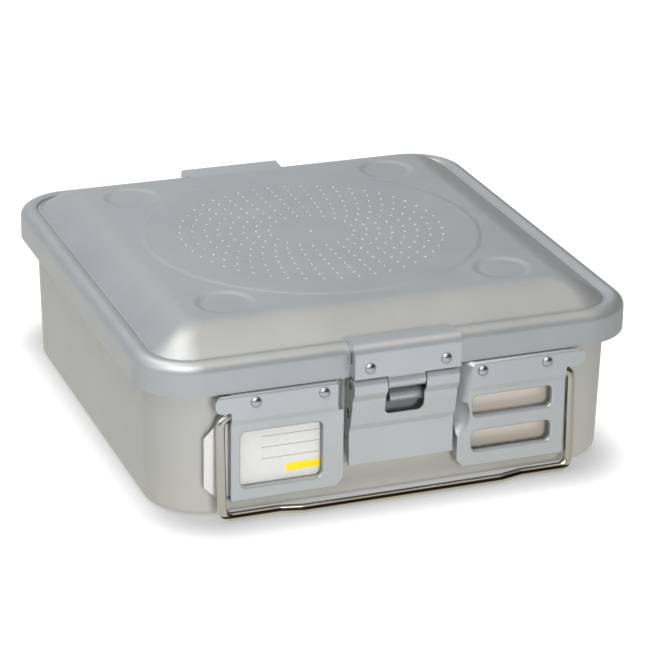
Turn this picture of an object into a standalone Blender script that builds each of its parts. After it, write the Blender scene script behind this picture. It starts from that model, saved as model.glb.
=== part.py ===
"""Sterilization container: a deep-drawn tub and lid, held shut by two latches.

The container stands on its four pressed feet. The origin is on the floor under its middle,
+Z is up, and the front, with the card in its holder, faces -Y. All lengths are in metres.
The rear carries the same fittings as the front, turned half a turn about Z.
"""

from math import cos, pi, radians, sin, tan

import bmesh
import bpy
from mathutils import Matrix, Vector

# Shared sizes
CLEARANCE = 0.0003              # between pieces that rest on each other
OVERRUN = 0.004                 # how far a cutter passes the faces that it cuts
SHEET = 0.0015                  # sheet of the lid and the tub
WELD_DISTANCE = 0.000001
ARC_STEPS = 3
WIRE_STEPS = 3
ROUND_SIDES = 20
SMALL_SIDES = 8
TURN = 2 * pi

# Lid
LID_WIDTH = 0.280
LID_DEPTH = 0.285
LID_CORNER = 0.035
CORNER_STEPS = 6
SKIRT_HEIGHT = 0.0172
RIM_RADIUS = 0.0035
RIM_BAND = 0.0065
GROOVE_WIDTH = 0.0010
GROOVE_DEPTH = 0.0005
SLOPE_RUN = 0.0210
PLATEAU_RISE = 0.0108           # plateau above the rim
DISC_INSET = 0.042              # from the nearer sides of the lid to the raised disc
DISC_RISE = 0.0004
DISC_SIDES = 36
DISC_WALL = 0.0006
DISH_INSET_X = 0.059            # stacking dishes of the lid, and the tub's feet below them
DISH_INSET_Y = 0.0555
DISH_SIDES = 16
DISH_RADIUS = 0.0165
DISH_DEPTH = 0.0011
DISH_SLOPE = 0.0010
STACKING_CLEARANCE = 0.0015

# Perforation of the lid, over the filter
HOLE_DIAMETER = 0.0025
HOLE_SIDES = 5
HOLE_RINGS = 8
FIRST_RING = 0.0245
FIRST_RING_HOLES = 20
HOLES_ADDED_PER_RING = 4
PERFORATION_MARGIN = 0.0175     # filter paper outside the outer ring of holes

# Tub
TUB_HEIGHT = 0.0851
TUB_CORNER = 0.034
SKIRT_TO_TUB = 0.0056
WALL_DRAFT = 0.0029
RIM_FOLD = 0.0036
FOLD_BEND = 0.0010
FLOOR_BEND = 0.0015
FOOT_HEIGHT = 0.0008

# Gasket
GASKET_WIDTH = 0.0030
GASKET_HEIGHT = 0.0040
GASKET_TO_GROOVE = 0.0013

# Filter under the lid
PAPER_INSET = 0.005             # from the raised disc's edge
PAPER_THICKNESS = 0.0005
RETAINER_INSET = 0.002
RETAINER_SHEET = 0.0010
RETAINER_RIM = 0.0040
RETAINER_HOLE_DIAMETER = 0.008
RETAINER_HOLE_SIDES = 6
RETAINER_RING_SHARES = ((0.4167, 10), (0.7083, 16))     # radius as a share, and how many holes
STUD_DIAMETER = 0.0050
STUD_END_DIAMETER = 0.0030
STUD_END_RISE = 0.0003
STUD_LENGTH = 0.0126
STUD_CHAMFER = 0.0006
KNOB_DIAMETER = 0.024
KNOB_HEIGHT = 0.0055
KNOB_ROUNDING = 0.0012
KNOB_COLLAR_DIAMETER = 0.014
KNOB_COLLAR_HEIGHT = 0.0015

# Bracket on the lid
BRACKET_SHEET = 0.0012
BRACKET_STANDOFF = 0.0080
BRACKET_LIFT = 0.0012           # lower edge above the lid's skirt edge
BRACKET_BEND = 0.0030
BRACKET_RISE = 0.0028           # top at the bend above the rim
BRACKET_PLATE_GAP = 0.0004
BRACKET_REACH = 0.0090
BRACKET_TAPER = 0.0015
BRACKET_TAPER_LENGTH = 0.0030
BRACKET_SLOT_WIDTH = 0.0024
BRACKET_SLOT_HEIGHT = 0.0080
BRACKET_SLOT_OUT = 0.0025
BRACKET_SLOT_RISE = 0.0110
BRACKET_RIVET_INSET = 0.0086
BRACKET_RIVET_RISE = 0.0070

# Hinge block
BLOCK_INSET = 0.0043            # from the bracket's end to the block's
BLOCK_BOTTOM_RISE = 0.0030
BLOCK_HEIGHT = 0.0110
BLOCK_BEVEL = 0.0006
KNUCKLE_HALF_WIDTH = 0.0107
NECK_HALF_WIDTH = 0.0028

# Latch
HINGE_OUT = 0.0033              # hinge axis in front of the lid's skirt
HINGE_DROP = 0.0038             # hinge axis below the lid's skirt
BARREL_RADIUS = 0.0040
PIN_DIAMETER = 0.0030
PIN_HEAD_DIAMETER = 0.0042
PIN_HEAD_LENGTH = 0.0007
LATCH_HALF_WIDTH = 0.0300
LATCH_SHEET = 0.0010
LATCH_LENGTH = 0.0478
LATCH_SET = 0.0072              # from the barrel's front back to the flat lower panel
LATCH_FACE_SHARES = (           # shares of LATCH_SET and LATCH_LENGTH, from the hinge down
    (0.0, 0.088), (0.417, 0.192), (0.417, 0.266), (0.583, 0.381),
    (0.75, 0.496), (1.0, 0.577), (1.0, 0.715), (0.944, 1.0),
)
LATCH_FACE_BEND = 0.0030
CHEEK_DEPTH = 0.0094
CHEEK_TOP = 0.0020
CHEEK_END_DEPTH = 0.0015
CHEEK_TAPER_HEIGHT = 0.0076
WINDOW_CLEARANCE = 0.0005
WINDOW_DROP = 0.0192
WINDOW_CORNER = 0.0035
BARREL_REAR_ANGLE = radians(24)         # where the sheet's end meets the barrel, inside
BARREL_LIP_ANGLE = radians(32)          # and outside
BARREL_FRONT_ANGLE = radians(168.75)
BARREL_HOLLOW_ANGLE = radians(-138)
SNAP_PIN_DIAMETER = 0.0028
SNAP_PIN_BACK = 0.0056
SNAP_PIN_DROP = 0.0182
SNAP_PIN_LENGTH = 0.0156
SNAP_PIN_CHAMFER = 0.0003
SNAP_TRAVEL = 0.0026
PIN_PROUD = 0.0006              # how far pins and springs show outside the cheeks
SPRING_WIRE = 0.0016
SPRING_BACK = 0.0083
SPRING_DROP = 0.0337
SPRING_INSET = 0.0040
SPRING_BEND = 0.0014
SPRING_TIP_GAP = 0.0005

# Catch on the tub
CATCH_DROP = 0.0147             # below the hinge's axis
CATCH_DIAMETER = 0.0064
CATCH_BORE = 0.0042
CATCH_LENGTH = 0.0200
CATCH_OFFSET = 0.0035
CATCH_SHEET = 0.0010
CATCH_PLATE_LENGTH = 0.0155
CATCH_MEETING_ANGLE = radians(-45)      # where the rolled tube meets its plate

# Pockets on the tub
SKIRT_TO_POCKET = 0.0012
LATCH_TO_POCKET = 0.0048
POCKET_TO_BAIL = 0.0044         # from the pocket's outer end to the middle of the bail's leg
POCKET_BOTTOM = 0.0110
POCKET_SHEET = 0.0012
POCKET_STANDOFF = 0.0089
POCKET_EDGE = 0.0015
POCKET_CHAMFER = 0.0055
POCKET_RETURN = 0.0020
STRIP_RISE = 0.0012
STRIP_HEIGHT = 0.0135
STRIP_STEP = 0.0033
TAB_LENGTH = 0.0089
TAB_HEIGHT = 0.0091
TAB_CORNER = 0.0040
SCOOP_RADIUS = 0.0166
SCOOP_ASIDE = 0.0107            # centre of the scoop's ball beside the pocket's inner end
SCOOP_OUT = 0.0069
SCOOP_DROP = 0.0308
SCOOP_SIDES = 28
SCOOP_RINGS = 16
LIP_DEPTH = 0.0026
LABEL_MARGIN_INNER = 0.0127     # from the pocket's ends and the face's edges to the windows
LABEL_MARGIN_OUTER = 0.0053
LABEL_MARGIN_LOW = 0.0081
LABEL_MARGIN_HIGH = 0.0049
LABEL_CORNER = 0.0045
TAG_MARGIN_INNER = 0.0060
TAG_MARGIN_OUTER = 0.0090
TAG_MARGIN_LOW = 0.0096
TAG_MARGIN_HIGH = 0.0028
TAG_BAR = 0.0086
TAG_CORNER_SHARE = 0.4167       # of the window's height

# Rivets
RIVET_DIAMETER = 0.0030
RIVET_HEAD_DIAMETER = 0.0062
RIVET_HEAD_HEIGHT = 0.0020
RIVET_TAIL_DIAMETER = 0.0046
RIVET_TAIL_HEIGHT = 0.0010
POCKET_RIVET_DROP = 0.0044
POCKET_RIVET_FROM_INNER = 0.0106
POCKET_RIVET_FROM_OUTER = 0.0134

# Bail, its saddles and the spacers
BAIL_WIRE = 0.0052
BAIL_STANDOFF = 0.0058
BAIL_PIVOT_DROP = 0.0122        # below the pocket's top
BAIL_PAST_FLAT = 0.0023         # leg outside the flat part of the tub's wall
BAIL_END_LENGTH = 0.0127
BAIL_FOOT_Z = 0.0034
BAIL_LEAN = 0.0032
BAIL_BEND = 0.0060
JOGGLE_OUT = 0.0030
JOGGLE_FROM_LEG = 0.0312
JOGGLE_LENGTH = 0.013
JOGGLE_BEND = 0.010
SADDLE_LENGTH = 0.0140
SADDLE_INSET = 0.0023
SADDLE_BELOW_PIVOT = 0.0052
SADDLE_ABOVE_PIVOT = 0.0037
SADDLE_TO_TOP = 0.0016
SPACER_DIAMETER = 0.0058

# Card
CARD_THICKNESS = 0.0004
CARD_INSET = 0.0072
CARD_PAST_BAIL = 0.0088
CARD_TO_SADDLE = 0.0004
CARD_CORNER = 0.007
CARD_STANDOFF = 0.0026

# Shading
SHARP_ANGLE = radians(35)

# Colours (linear) and finishes
ANODISED = ((0.36, 0.39, 0.42), 0.34, 1.0)
ANODISED_PLATE = ((0.42, 0.45, 0.48), 0.30, 1.0)
POLISHED = ((0.62, 0.62, 0.60), 0.10, 1.0)
SPRING_STEEL = ((0.50, 0.50, 0.48), 0.22, 1.0)
SILICONE = ((0.30, 0.31, 0.32), 0.60, 0.0)
PAPER = ((0.86, 0.86, 0.83), 0.85, 0.0)

# Places that follow from the sizes above
LID_HALF_X = LID_WIDTH / 2
LID_HALF_Y = LID_DEPTH / 2
RIM_TOP = TUB_HEIGHT + 2 * CLEARANCE + GASKET_HEIGHT + SHEET
SKIRT_BOTTOM = RIM_TOP - SKIRT_HEIGHT
PLATEAU = RIM_TOP + PLATEAU_RISE
UNDERSIDE = PLATEAU + DISC_RISE - SHEET
TUB_HALF_X = LID_HALF_X - SHEET - SKIRT_TO_TUB
TUB_HALF_Y = LID_HALF_Y - SHEET - SKIRT_TO_TUB
TUB_FLOOR = FOOT_HEIGHT + SHEET
DRAFT_TOP = TUB_HEIGHT - SHEET - FOLD_BEND
DRAFT_BOTTOM = TUB_FLOOR + FLOOR_BEND
DISC_RADIUS = min(LID_HALF_X, LID_HALF_Y) - DISC_INSET
DISH_X = LID_HALF_X - DISH_INSET_X
DISH_Y = LID_HALF_Y - DISH_INSET_Y
PAPER_RADIUS = DISC_RADIUS - PAPER_INSET
RING_PITCH = (PAPER_RADIUS - PERFORATION_MARGIN - FIRST_RING) / (HOLE_RINGS - 1)
PAPER_TOP = UNDERSIDE - CLEARANCE
RETAINER_RADIUS = DISC_RADIUS - RETAINER_INSET
RETAINER_TOP = PAPER_TOP - PAPER_THICKNESS - CLEARANCE
KNOB_TOP = RETAINER_TOP - RETAINER_SHEET - CLEARANCE
HINGE = (0, -LID_HALF_Y - HINGE_OUT, SKIRT_BOTTOM - HINGE_DROP)
CATCH_Z = HINGE[2] - CATCH_DROP
CATCH_PLATE_BOTTOM = CATCH_Z - CATCH_PLATE_LENGTH
BRACKET_HALF_WIDTH = LATCH_HALF_WIDTH + CLEARANCE
BLOCK_HALF_WIDTH = BRACKET_HALF_WIDTH - BLOCK_INSET
BRACKET_RIVET_X = BRACKET_HALF_WIDTH - BRACKET_RIVET_INSET
BRACKET_FACE = -LID_HALF_Y - BRACKET_STANDOFF
BRACKET_BOTTOM = SKIRT_BOTTOM + BRACKET_LIFT
BRACKET_RIVET_Z = SKIRT_BOTTOM + BRACKET_RIVET_RISE
POCKET_TOP = SKIRT_BOTTOM - SKIRT_TO_POCKET
BAIL_Z = POCKET_TOP - BAIL_PIVOT_DROP
BAIL_PIVOT = (0, -TUB_HALF_Y - BAIL_STANDOFF, BAIL_Z)
BAIL_LEG_X = TUB_HALF_X - TUB_CORNER + BAIL_PAST_FLAT
BAIL_END_X = BAIL_LEG_X - BAIL_END_LENGTH
JOGGLE_OUTER_X = BAIL_LEG_X - JOGGLE_FROM_LEG
JOGGLE_INNER_X = JOGGLE_OUTER_X - JOGGLE_LENGTH
POCKET_INNER_X = LATCH_HALF_WIDTH + LATCH_TO_POCKET
POCKET_OUTER_X = BAIL_LEG_X - POCKET_TO_BAIL
POCKET_FACE = -TUB_HALF_Y - POCKET_STANDOFF
STRIP_FACE = POCKET_FACE - STRIP_RISE
STRIP_INSIDE = STRIP_FACE + POCKET_SHEET
STRIP_BOTTOM = POCKET_TOP - STRIP_HEIGHT
FACE_TOP = STRIP_BOTTOM - STRIP_STEP
SCOOP_X = POCKET_INNER_X - SCOOP_ASIDE
SCOOP_Z = POCKET_TOP - SCOOP_DROP
POCKET_RIVET_INNER_X = POCKET_INNER_X + POCKET_RIVET_FROM_INNER
POCKET_RIVET_OUTER_X = POCKET_OUTER_X - POCKET_RIVET_FROM_OUTER
POCKET_RIVET_Z = POCKET_TOP - POCKET_RIVET_DROP
SADDLE_OUTER_X = POCKET_OUTER_X - SADDLE_INSET
SADDLE_INNER_X = SADDLE_OUTER_X - SADDLE_LENGTH
SADDLE_BOTTOM = BAIL_Z - SADDLE_BELOW_PIVOT
SADDLE_LEDGE = BAIL_Z + SADDLE_ABOVE_PIVOT
SADDLE_TOP = POCKET_TOP - SADDLE_TO_TOP
CARD_INNER_X = POCKET_INNER_X + CARD_INSET
CARD_OUTER_X = BAIL_LEG_X + CARD_PAST_BAIL
RIVET_HOLE_DIAMETER = RIVET_DIAMETER + 2 * CLEARANCE
PIN_BORE = PIN_DIAMETER + 2 * CLEARANCE

# Frames in which a flat outline (u, v) stands: its extrusion runs along the named axis
OUTLINE_FRAMES = {
    "X": Matrix(((0, 0, 1, 0), (1, 0, 0, 0), (0, 1, 0, 0), (0, 0, 0, 1))),
    "Y": Matrix(((1, 0, 0, 0), (0, 0, -1, 0), (0, 1, 0, 0), (0, 0, 0, 1))),
    "Z": Matrix.Identity(4),
}
SIDES = {"front": 0.0, "rear": pi}
FACING_FRONT = Matrix.Rotation(pi / 2, 4, "X")       # turns +Z to -Y
FACING_RIGHT = Matrix.Rotation(pi / 2, 4, "Y")       # turns +Z to +X


def empty_scene():
    for obj in list(bpy.data.objects):
        bpy.data.objects.remove(obj, do_unlink=True)


def new_collection(name):
    collection = bpy.data.collections.new(name)
    bpy.context.scene.collection.children.link(collection)
    return collection


def metal(name, finish):
    colour, roughness, metallic = finish
    material = bpy.data.materials.new(name)
    material.use_nodes = True
    shader = material.node_tree.nodes["Principled BSDF"]
    shader.inputs["Base Color"].default_value = (*colour, 1)
    shader.inputs["Roughness"].default_value = roughness
    shader.inputs["Metallic"].default_value = metallic
    return material


# Outlines and routes

def rounded_corner(before, corner, after, radius, steps):
    """Points of the arc that rounds one corner of an outline or a route."""
    before, corner, after = Vector(before), Vector(corner), Vector(after)
    if radius == 0:
        return [corner]
    towards, onwards = before - corner, after - corner
    opening = towards.angle(onwards)
    tangent = min(radius / tan(opening / 2), towards.length / 2, onwards.length / 2)
    radius = tangent * tan(opening / 2)
    towards.normalize()
    onwards.normalize()
    centre = corner + (towards + onwards).normalized() * (radius / sin(opening / 2))
    start = corner + towards * tangent - centre
    end = corner + onwards * tangent - centre
    sweep = pi - opening
    shares = [step / steps for step in range(steps + 1)]
    return [
        centre + (start * sin((1 - share) * sweep) + end * sin(share * sweep)) / sin(sweep)
        for share in shares
    ]


def rounded_outline(corners, steps=ARC_STEPS):
    """Closed outline through corners given as (u, v, radius)."""
    points = []
    for index, (u, v, radius) in enumerate(corners):
        before = corners[index - 1][:2]
        after = corners[(index + 1) % len(corners)][:2]
        points += rounded_corner(before, (u, v), after, radius, steps)
    kept = []
    for before, point in zip([points[-1]] + points, points):
        if (point - before).length > WELD_DISTANCE:
            kept.append(point)
    return kept


def rounded_box(centre_u, centre_v, width, height, radius, steps=ARC_STEPS):
    left, right = centre_u - width / 2, centre_u + width / 2
    low, high = centre_v - height / 2, centre_v + height / 2
    corners = [(left, low), (right, low), (right, high), (left, high)]
    return rounded_outline([(*corner, radius) for corner in corners], steps)


def arc(centre_u, centre_v, radius, start, end, steps):
    angles = [start + (end - start) * step / steps for step in range(steps + 1)]
    return [Vector((centre_u + radius * cos(a), centre_v + radius * sin(a))) for a in angles]


def offset_path(points, distance):
    """The path moved sideways, to its left for a positive distance, with mitred corners."""
    points = [Vector(point) for point in points]
    runs = [(after - before).normalized() for before, after in zip(points, points[1:])]
    moved = []
    for index, point in enumerate(points):
        run_in = runs[max(index - 1, 0)]
        run_out = runs[min(index, len(runs) - 1)]
        side = Vector((-run_in.y - run_out.y, run_in.x + run_out.x)).normalized()
        moved.append(point + side * (distance / side.dot(Vector((-run_in.y, run_in.x)))))
    return moved


# Shapes in the container's frame, kept in the collection of cutters until they are finished

def shape_from_bmesh(bm, matrix=Matrix.Identity(4)):
    mesh = bpy.data.meshes.new("shape")
    bm.to_mesh(mesh)
    bm.free()
    shape = bpy.data.objects.new("shape", mesh)
    shape.hide_render = True
    shape.display_type = "WIRE"
    cutters.objects.link(shape)
    shape.matrix_world = matrix
    return shape


def evaluated_mesh(obj):
    graph = bpy.context.evaluated_depsgraph_get()
    graph.update()
    return bpy.data.meshes.new_from_object(obj.evaluated_get(graph))


def shape_from_curve(curve, matrix=Matrix.Identity(4)):
    """Closed mesh of a curve, whose loose caps are welded on."""
    guide = bpy.data.objects.new("guide", curve)
    cutters.objects.link(guide)
    guide.matrix_world = matrix
    mesh = evaluated_mesh(guide)
    bm = bmesh.new()
    bm.from_mesh(mesh)
    bmesh.ops.remove_doubles(bm, verts=bm.verts, dist=WELD_DISTANCE)
    bmesh.ops.recalc_face_normals(bm, faces=bm.faces)
    shape = shape_from_bmesh(bm, matrix)
    bpy.data.objects.remove(guide, do_unlink=True)
    bpy.data.meshes.remove(mesh)
    return shape


def bake(shape):
    mesh = evaluated_mesh(shape)
    shape.modifiers.clear()
    shape.data = mesh


def prism(outline, start, end, axis):
    """Solid with a flat outline, from START to END along an axis."""
    curve = bpy.data.curves.new("outline", "CURVE")
    curve.dimensions = "2D"
    curve.fill_mode = "BOTH"
    curve.extrude = abs(end - start) / 2
    spline = curve.splines.new("POLY")
    spline.points.add(len(outline) - 1)
    for point, (u, v) in zip(spline.points, outline):
        point.co = (u, v, 0, 1)
    spline.use_cyclic_u = True
    along = Vector([(start + end) / 2 if name == axis else 0 for name in "XYZ"])
    return shape_from_curve(curve, Matrix.Translation(along) @ OUTLINE_FRAMES[axis])


def wire(route, diameter, resolution):
    curve = bpy.data.curves.new("wire", "CURVE")
    curve.dimensions = "3D"
    curve.bevel_depth = diameter / 2
    curve.bevel_resolution = resolution
    curve.use_fill_caps = True
    spline = curve.splines.new("POLY")
    spline.points.add(len(route) - 1)
    for point, place in zip(spline.points, route):
        point.co = (*place, 1)
    return shape_from_curve(curve)


def rounded_route(places, radius, steps=WIRE_STEPS):
    route = [Vector(places[0])]
    for before, corner, after in zip(places, places[1:], places[2:]):
        route += rounded_corner(before, corner, after, radius, steps)
    return route + [Vector(places[-1])]


def cylinder(place, radius, length, axis="Z", sides=ROUND_SIDES, end_radius=None):
    """Solid cylinder or cone whose middle lies at PLACE."""
    turns = {"X": FACING_RIGHT, "Y": FACING_FRONT, "Z": Matrix.Identity(4)}
    bm = bmesh.new()
    bmesh.ops.create_cone(
        bm, cap_ends=True, segments=sides, radius1=radius,
        radius2=radius if end_radius is None else end_radius, depth=length,
    )
    return shape_from_bmesh(bm, Matrix.Translation(place) @ turns[axis])


def ball(place, radius):
    bm = bmesh.new()
    bmesh.ops.create_uvsphere(bm, u_segments=SCOOP_SIDES, v_segments=SCOOP_RINGS, radius=radius)
    return shape_from_bmesh(bm, Matrix.Translation(place))


def block(low, high):
    """Box between two opposite corners."""
    low, high = Vector(low), Vector(high)
    bm = bmesh.new()
    bmesh.ops.create_cube(bm, size=1)
    bmesh.ops.scale(bm, vec=high - low, verts=bm.verts)
    return shape_from_bmesh(bm, Matrix.Translation((low + high) / 2))


def turned(profile, sides, matrix=Matrix.Identity(4), closed=False):
    """Turned shape from a profile (radius, height) that runs down its outer side."""
    bm = bmesh.new()
    points = [bm.verts.new((radius, 0, height)) for radius, height in profile]
    for before, after in zip(points, points[1:]):
        bm.edges.new((before, after))
    if closed:
        bm.edges.new((points[-1], points[0]))
    shape = shape_from_bmesh(bm, matrix)
    screw = shape.modifiers.new("turn", "SCREW")
    screw.axis = "Z"
    screw.steps = sides
    screw.render_steps = sides
    screw.use_merge_vertices = True
    screw.merge_threshold = WELD_DISTANCE
    bake(shape)
    bm = bmesh.new()
    bm.from_mesh(shape.data)
    bmesh.ops.recalc_face_normals(bm, faces=bm.faces)
    bm.to_mesh(shape.data)
    bm.free()
    return shape


def drawn_sheet(half_x, half_y, corner, height, draws):
    """Sheet drawn from a round-cornered blank: each draw is (inset, rise)."""
    bm = bmesh.new()
    bmesh.ops.create_grid(bm, x_segments=1, y_segments=1, size=1)
    bmesh.ops.scale(bm, vec=(half_x, half_y, 1), verts=bm.verts)
    bmesh.ops.bevel(
        bm, geom=bm.verts[:], offset=corner, segments=CORNER_STEPS, profile=0.5, affect="VERTICES",
    )
    blank = bm.faces[:][0]
    for inset, rise in draws:
        bmesh.ops.inset_region(
            bm, faces=[blank], thickness=inset, depth=rise, use_even_offset=True, use_boundary=True,
        )
    shape = shape_from_bmesh(bm, Matrix.Translation((0, 0, height)))
    wall = shape.modifiers.new("wall", "SOLIDIFY")
    wall.thickness = SHEET
    wall.offset = -1
    wall.use_even_offset = True
    bake(shape)
    return shape


def quarter_draws(radius, steps=ARC_STEPS):
    """Insets and rises of a bend that starts upright and ends flat."""
    angles = [pi / 2 * step / steps for step in range(steps + 1)]
    return [
        (radius * (cos(before) - cos(after)), radius * (sin(after) - sin(before)))
        for before, after in zip(angles, angles[1:])
    ]


def combine(shape, tool, operation):
    change = shape.modifiers.new(operation.lower(), "BOOLEAN")
    change.operation = operation
    change.solver = "EXACT"
    change.object = tool
    bake(shape)
    bpy.data.objects.remove(tool, do_unlink=True)
    return shape


def cut(shape, *tools):
    for tool in tools:
        combine(shape, tool, "DIFFERENCE")
    return shape


def join(shape, *others):
    for other in others:
        combine(shape, other, "UNION")
    return shape


def bevelled(shape, width):
    edges = shape.modifiers.new("edges", "BEVEL")
    edges.width = width
    edges.segments = 1
    bake(shape)
    return shape


def mirrored(shape):
    """The shape's mirror image across the plane X = 0."""
    shape.data.transform(Matrix.Scale(-1, 4, (1, 0, 0)) @ shape.matrix_world)
    shape.data.flip_normals()
    shape.matrix_world = Matrix.Identity(4)
    return shape


# Pieces and what carries them

def carrier(name, parent=None, place=(0, 0, 0), turn=0.0):
    frame = bpy.data.objects.new(name, None)
    frame.empty_display_size = CATCH_LENGTH
    container.objects.link(frame)
    frame.parent = parent
    frame.location = place
    frame.rotation_euler.z = turn
    return frame


def finish_mesh(shape, name, material, origin):
    mesh = shape.data
    mesh.name = name
    mesh.transform(Matrix.Translation(-Vector(origin)) @ shape.matrix_world)
    mesh.materials.clear()
    mesh.materials.append(material)
    mesh.shade_smooth()
    mesh.set_sharp_from_angle(angle=SHARP_ANGLE)
    bpy.data.objects.remove(shape, do_unlink=True)
    return mesh


def add_piece(name, shape, material, parent, origin=(0, 0, 0)):
    """A named piece from a finished shape, with its origin at ORIGIN under its parent."""
    piece = bpy.data.objects.new(name, finish_mesh(shape, name, material, origin))
    container.objects.link(piece)
    piece.parent = parent
    piece.location = Vector(origin)
    return piece


def add_pair(name, shape, material, parents, axis=(0, 0, 0), origin=None):
    """The same piece at the front and at the rear. Its parents stand at AXIS of their side."""
    origin = axis if origin is None else origin
    mesh = finish_mesh(shape, name, material, origin)
    for side in SIDES:
        piece = bpy.data.objects.new(f"{side}_{name}", mesh)
        container.objects.link(piece)
        piece.parent = parents[side]
        piece.location = Vector(origin) - Vector(axis)


def tub_wall(height):
    """How far the tub's outer wall stands from the middle plane, along Y, at a height."""
    return TUB_HALF_Y - WALL_DRAFT * (DRAFT_TOP - height) / (DRAFT_TOP - DRAFT_BOTTOM)


def pressed_dish(sheet, x, y, top, depth, radius):
    """A shallow round dish pressed down into a flat sheet."""
    floor = top - depth
    boss_top = top - SHEET / 2
    boss_bottom = floor - SHEET
    boss = cylinder(
        (x, y, (boss_top + boss_bottom) / 2), radius - DISH_SLOPE + SHEET, boss_top - boss_bottom,
        sides=DISH_SIDES, end_radius=radius + SHEET,
    )
    spread = DISH_SLOPE * (depth + OVERRUN) / depth
    dish = cylinder(
        (x, y, floor + (depth + OVERRUN) / 2), radius - DISH_SLOPE, depth + OVERRUN,
        sides=DISH_SIDES, end_radius=radius - DISH_SLOPE + spread,
    )
    join(sheet, boss)
    cut(sheet, dish)


def corner_places():
    return [(x * DISH_X, y * DISH_Y) for x in (-1, 1) for y in (-1, 1)]


def round_hole(x, y, z, diameter, length, axis):
    return cylinder((x, y, z), diameter / 2, length, axis, SMALL_SIDES)


def ring_punch(rings, diameter, sides, z):
    """One cutter for all the holes of some rings (radius, count), through a sheet at height Z."""
    bm = bmesh.new()
    for radius, count in rings:
        for step in range(count):
            angle = TURN * step / count
            bmesh.ops.create_cone(
                bm, cap_ends=True, segments=sides, radius1=diameter / 2, radius2=diameter / 2,
                depth=2 * OVERRUN,
                matrix=Matrix.Translation((radius * cos(angle), radius * sin(angle), z)),
            )
    return shape_from_bmesh(bm)


# The lid and what it holds

def lid_shell():
    draws = [(0, SKIRT_HEIGHT - RIM_RADIUS)]
    draws += quarter_draws(RIM_RADIUS)
    draws += [
        (RIM_BAND, 0),
        (GROOVE_WIDTH / 4, -GROOVE_DEPTH), (GROOVE_WIDTH / 2, 0), (GROOVE_WIDTH / 4, GROOVE_DEPTH),
        (SLOPE_RUN, PLATEAU_RISE),
    ]
    lid = drawn_sheet(LID_HALF_X, LID_HALF_Y, LID_CORNER, SKIRT_BOTTOM, draws)
    inside = PLATEAU - SHEET / 2
    raised = PLATEAU + DISC_RISE
    join(lid, cylinder((0, 0, (inside + raised) / 2), DISC_RADIUS, raised - inside, sides=DISC_SIDES))
    below = UNDERSIDE - OVERRUN
    cut(lid, cylinder(
        (0, 0, (UNDERSIDE + below) / 2), DISC_RADIUS - DISC_WALL, OVERRUN, sides=DISC_SIDES,
    ))
    for x, y in corner_places():
        pressed_dish(lid, x, y, PLATEAU, DISH_DEPTH, DISH_RADIUS)
    rings = [
        (FIRST_RING + ring * RING_PITCH, FIRST_RING_HOLES + ring * HOLES_ADDED_PER_RING)
        for ring in range(HOLE_RINGS)
    ]
    cut(lid, ring_punch(rings, HOLE_DIAMETER, HOLE_SIDES, PLATEAU))
    cut(lid, round_hole(0, 0, PLATEAU, STUD_END_DIAMETER + 2 * CLEARANCE, 2 * OVERRUN, "Z"))
    for x in (-BRACKET_RIVET_X, BRACKET_RIVET_X):
        for y in (-LID_HALF_Y, LID_HALF_Y):
            cut(lid, round_hole(x, y, BRACKET_RIVET_Z, RIVET_HOLE_DIAMETER, 2 * OVERRUN, "Y"))
    return lid


def frame_ring(half_x, half_y, corner, width, bottom, top):
    """Flat-sided ring that follows a round-cornered rectangle."""
    outer = rounded_box(0, 0, 2 * half_x, 2 * half_y, corner, CORNER_STEPS)
    half_x, half_y, corner = half_x - width, half_y - width, corner - width
    inner = rounded_box(0, 0, 2 * half_x, 2 * half_y, corner, CORNER_STEPS)
    ring = prism(outer, bottom, top, "Z")
    return cut(ring, prism(inner, bottom - OVERRUN, top + OVERRUN, "Z"))


def gasket():
    inset = RIM_RADIUS + RIM_BAND - GASKET_TO_GROOVE - GASKET_WIDTH
    bottom = TUB_HEIGHT + CLEARANCE
    return frame_ring(
        LID_HALF_X - inset, LID_HALF_Y - inset, LID_CORNER - inset, GASKET_WIDTH,
        bottom, bottom + GASKET_HEIGHT,
    )


def filter_paper():
    bottom = PAPER_TOP - PAPER_THICKNESS
    hole = STUD_DIAMETER / 2 + CLEARANCE
    profile = [(hole, PAPER_TOP), (PAPER_RADIUS, PAPER_TOP), (PAPER_RADIUS, bottom), (hole, bottom)]
    return turned(profile, DISC_SIDES, closed=True)


def filter_retainer():
    top = RETAINER_TOP
    hole = STUD_DIAMETER / 2 + CLEARANCE
    underside = top - RETAINER_SHEET
    rim_bottom = top - RETAINER_RIM
    profile = [(hole, top)]
    profile += rounded_corner(
        (hole, top), (RETAINER_RADIUS, top), (RETAINER_RADIUS, rim_bottom), RETAINER_SHEET, 1,
    )
    profile += [
        (RETAINER_RADIUS, rim_bottom), (RETAINER_RADIUS - RETAINER_SHEET, rim_bottom),
        (RETAINER_RADIUS - RETAINER_SHEET, underside), (hole, underside),
    ]
    dish = turned(profile, DISC_SIDES, closed=True)
    rings = [(share * RETAINER_RADIUS, count) for share, count in RETAINER_RING_SHARES]
    return cut(dish, ring_punch(rings, RETAINER_HOLE_DIAMETER, RETAINER_HOLE_SIDES, top))


def retainer_stud():
    end, shank = STUD_END_DIAMETER / 2, STUD_DIAMETER / 2
    bottom = PAPER_TOP - STUD_LENGTH
    profile = [
        (0, UNDERSIDE + SHEET), (end - STUD_END_RISE, UNDERSIDE + SHEET),
        (end, UNDERSIDE + SHEET - STUD_END_RISE), (end, PAPER_TOP), (shank, PAPER_TOP),
        (shank, bottom + STUD_CHAMFER), (shank - STUD_CHAMFER, bottom), (0, bottom),
    ]
    return turned(profile, SMALL_SIDES)


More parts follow.
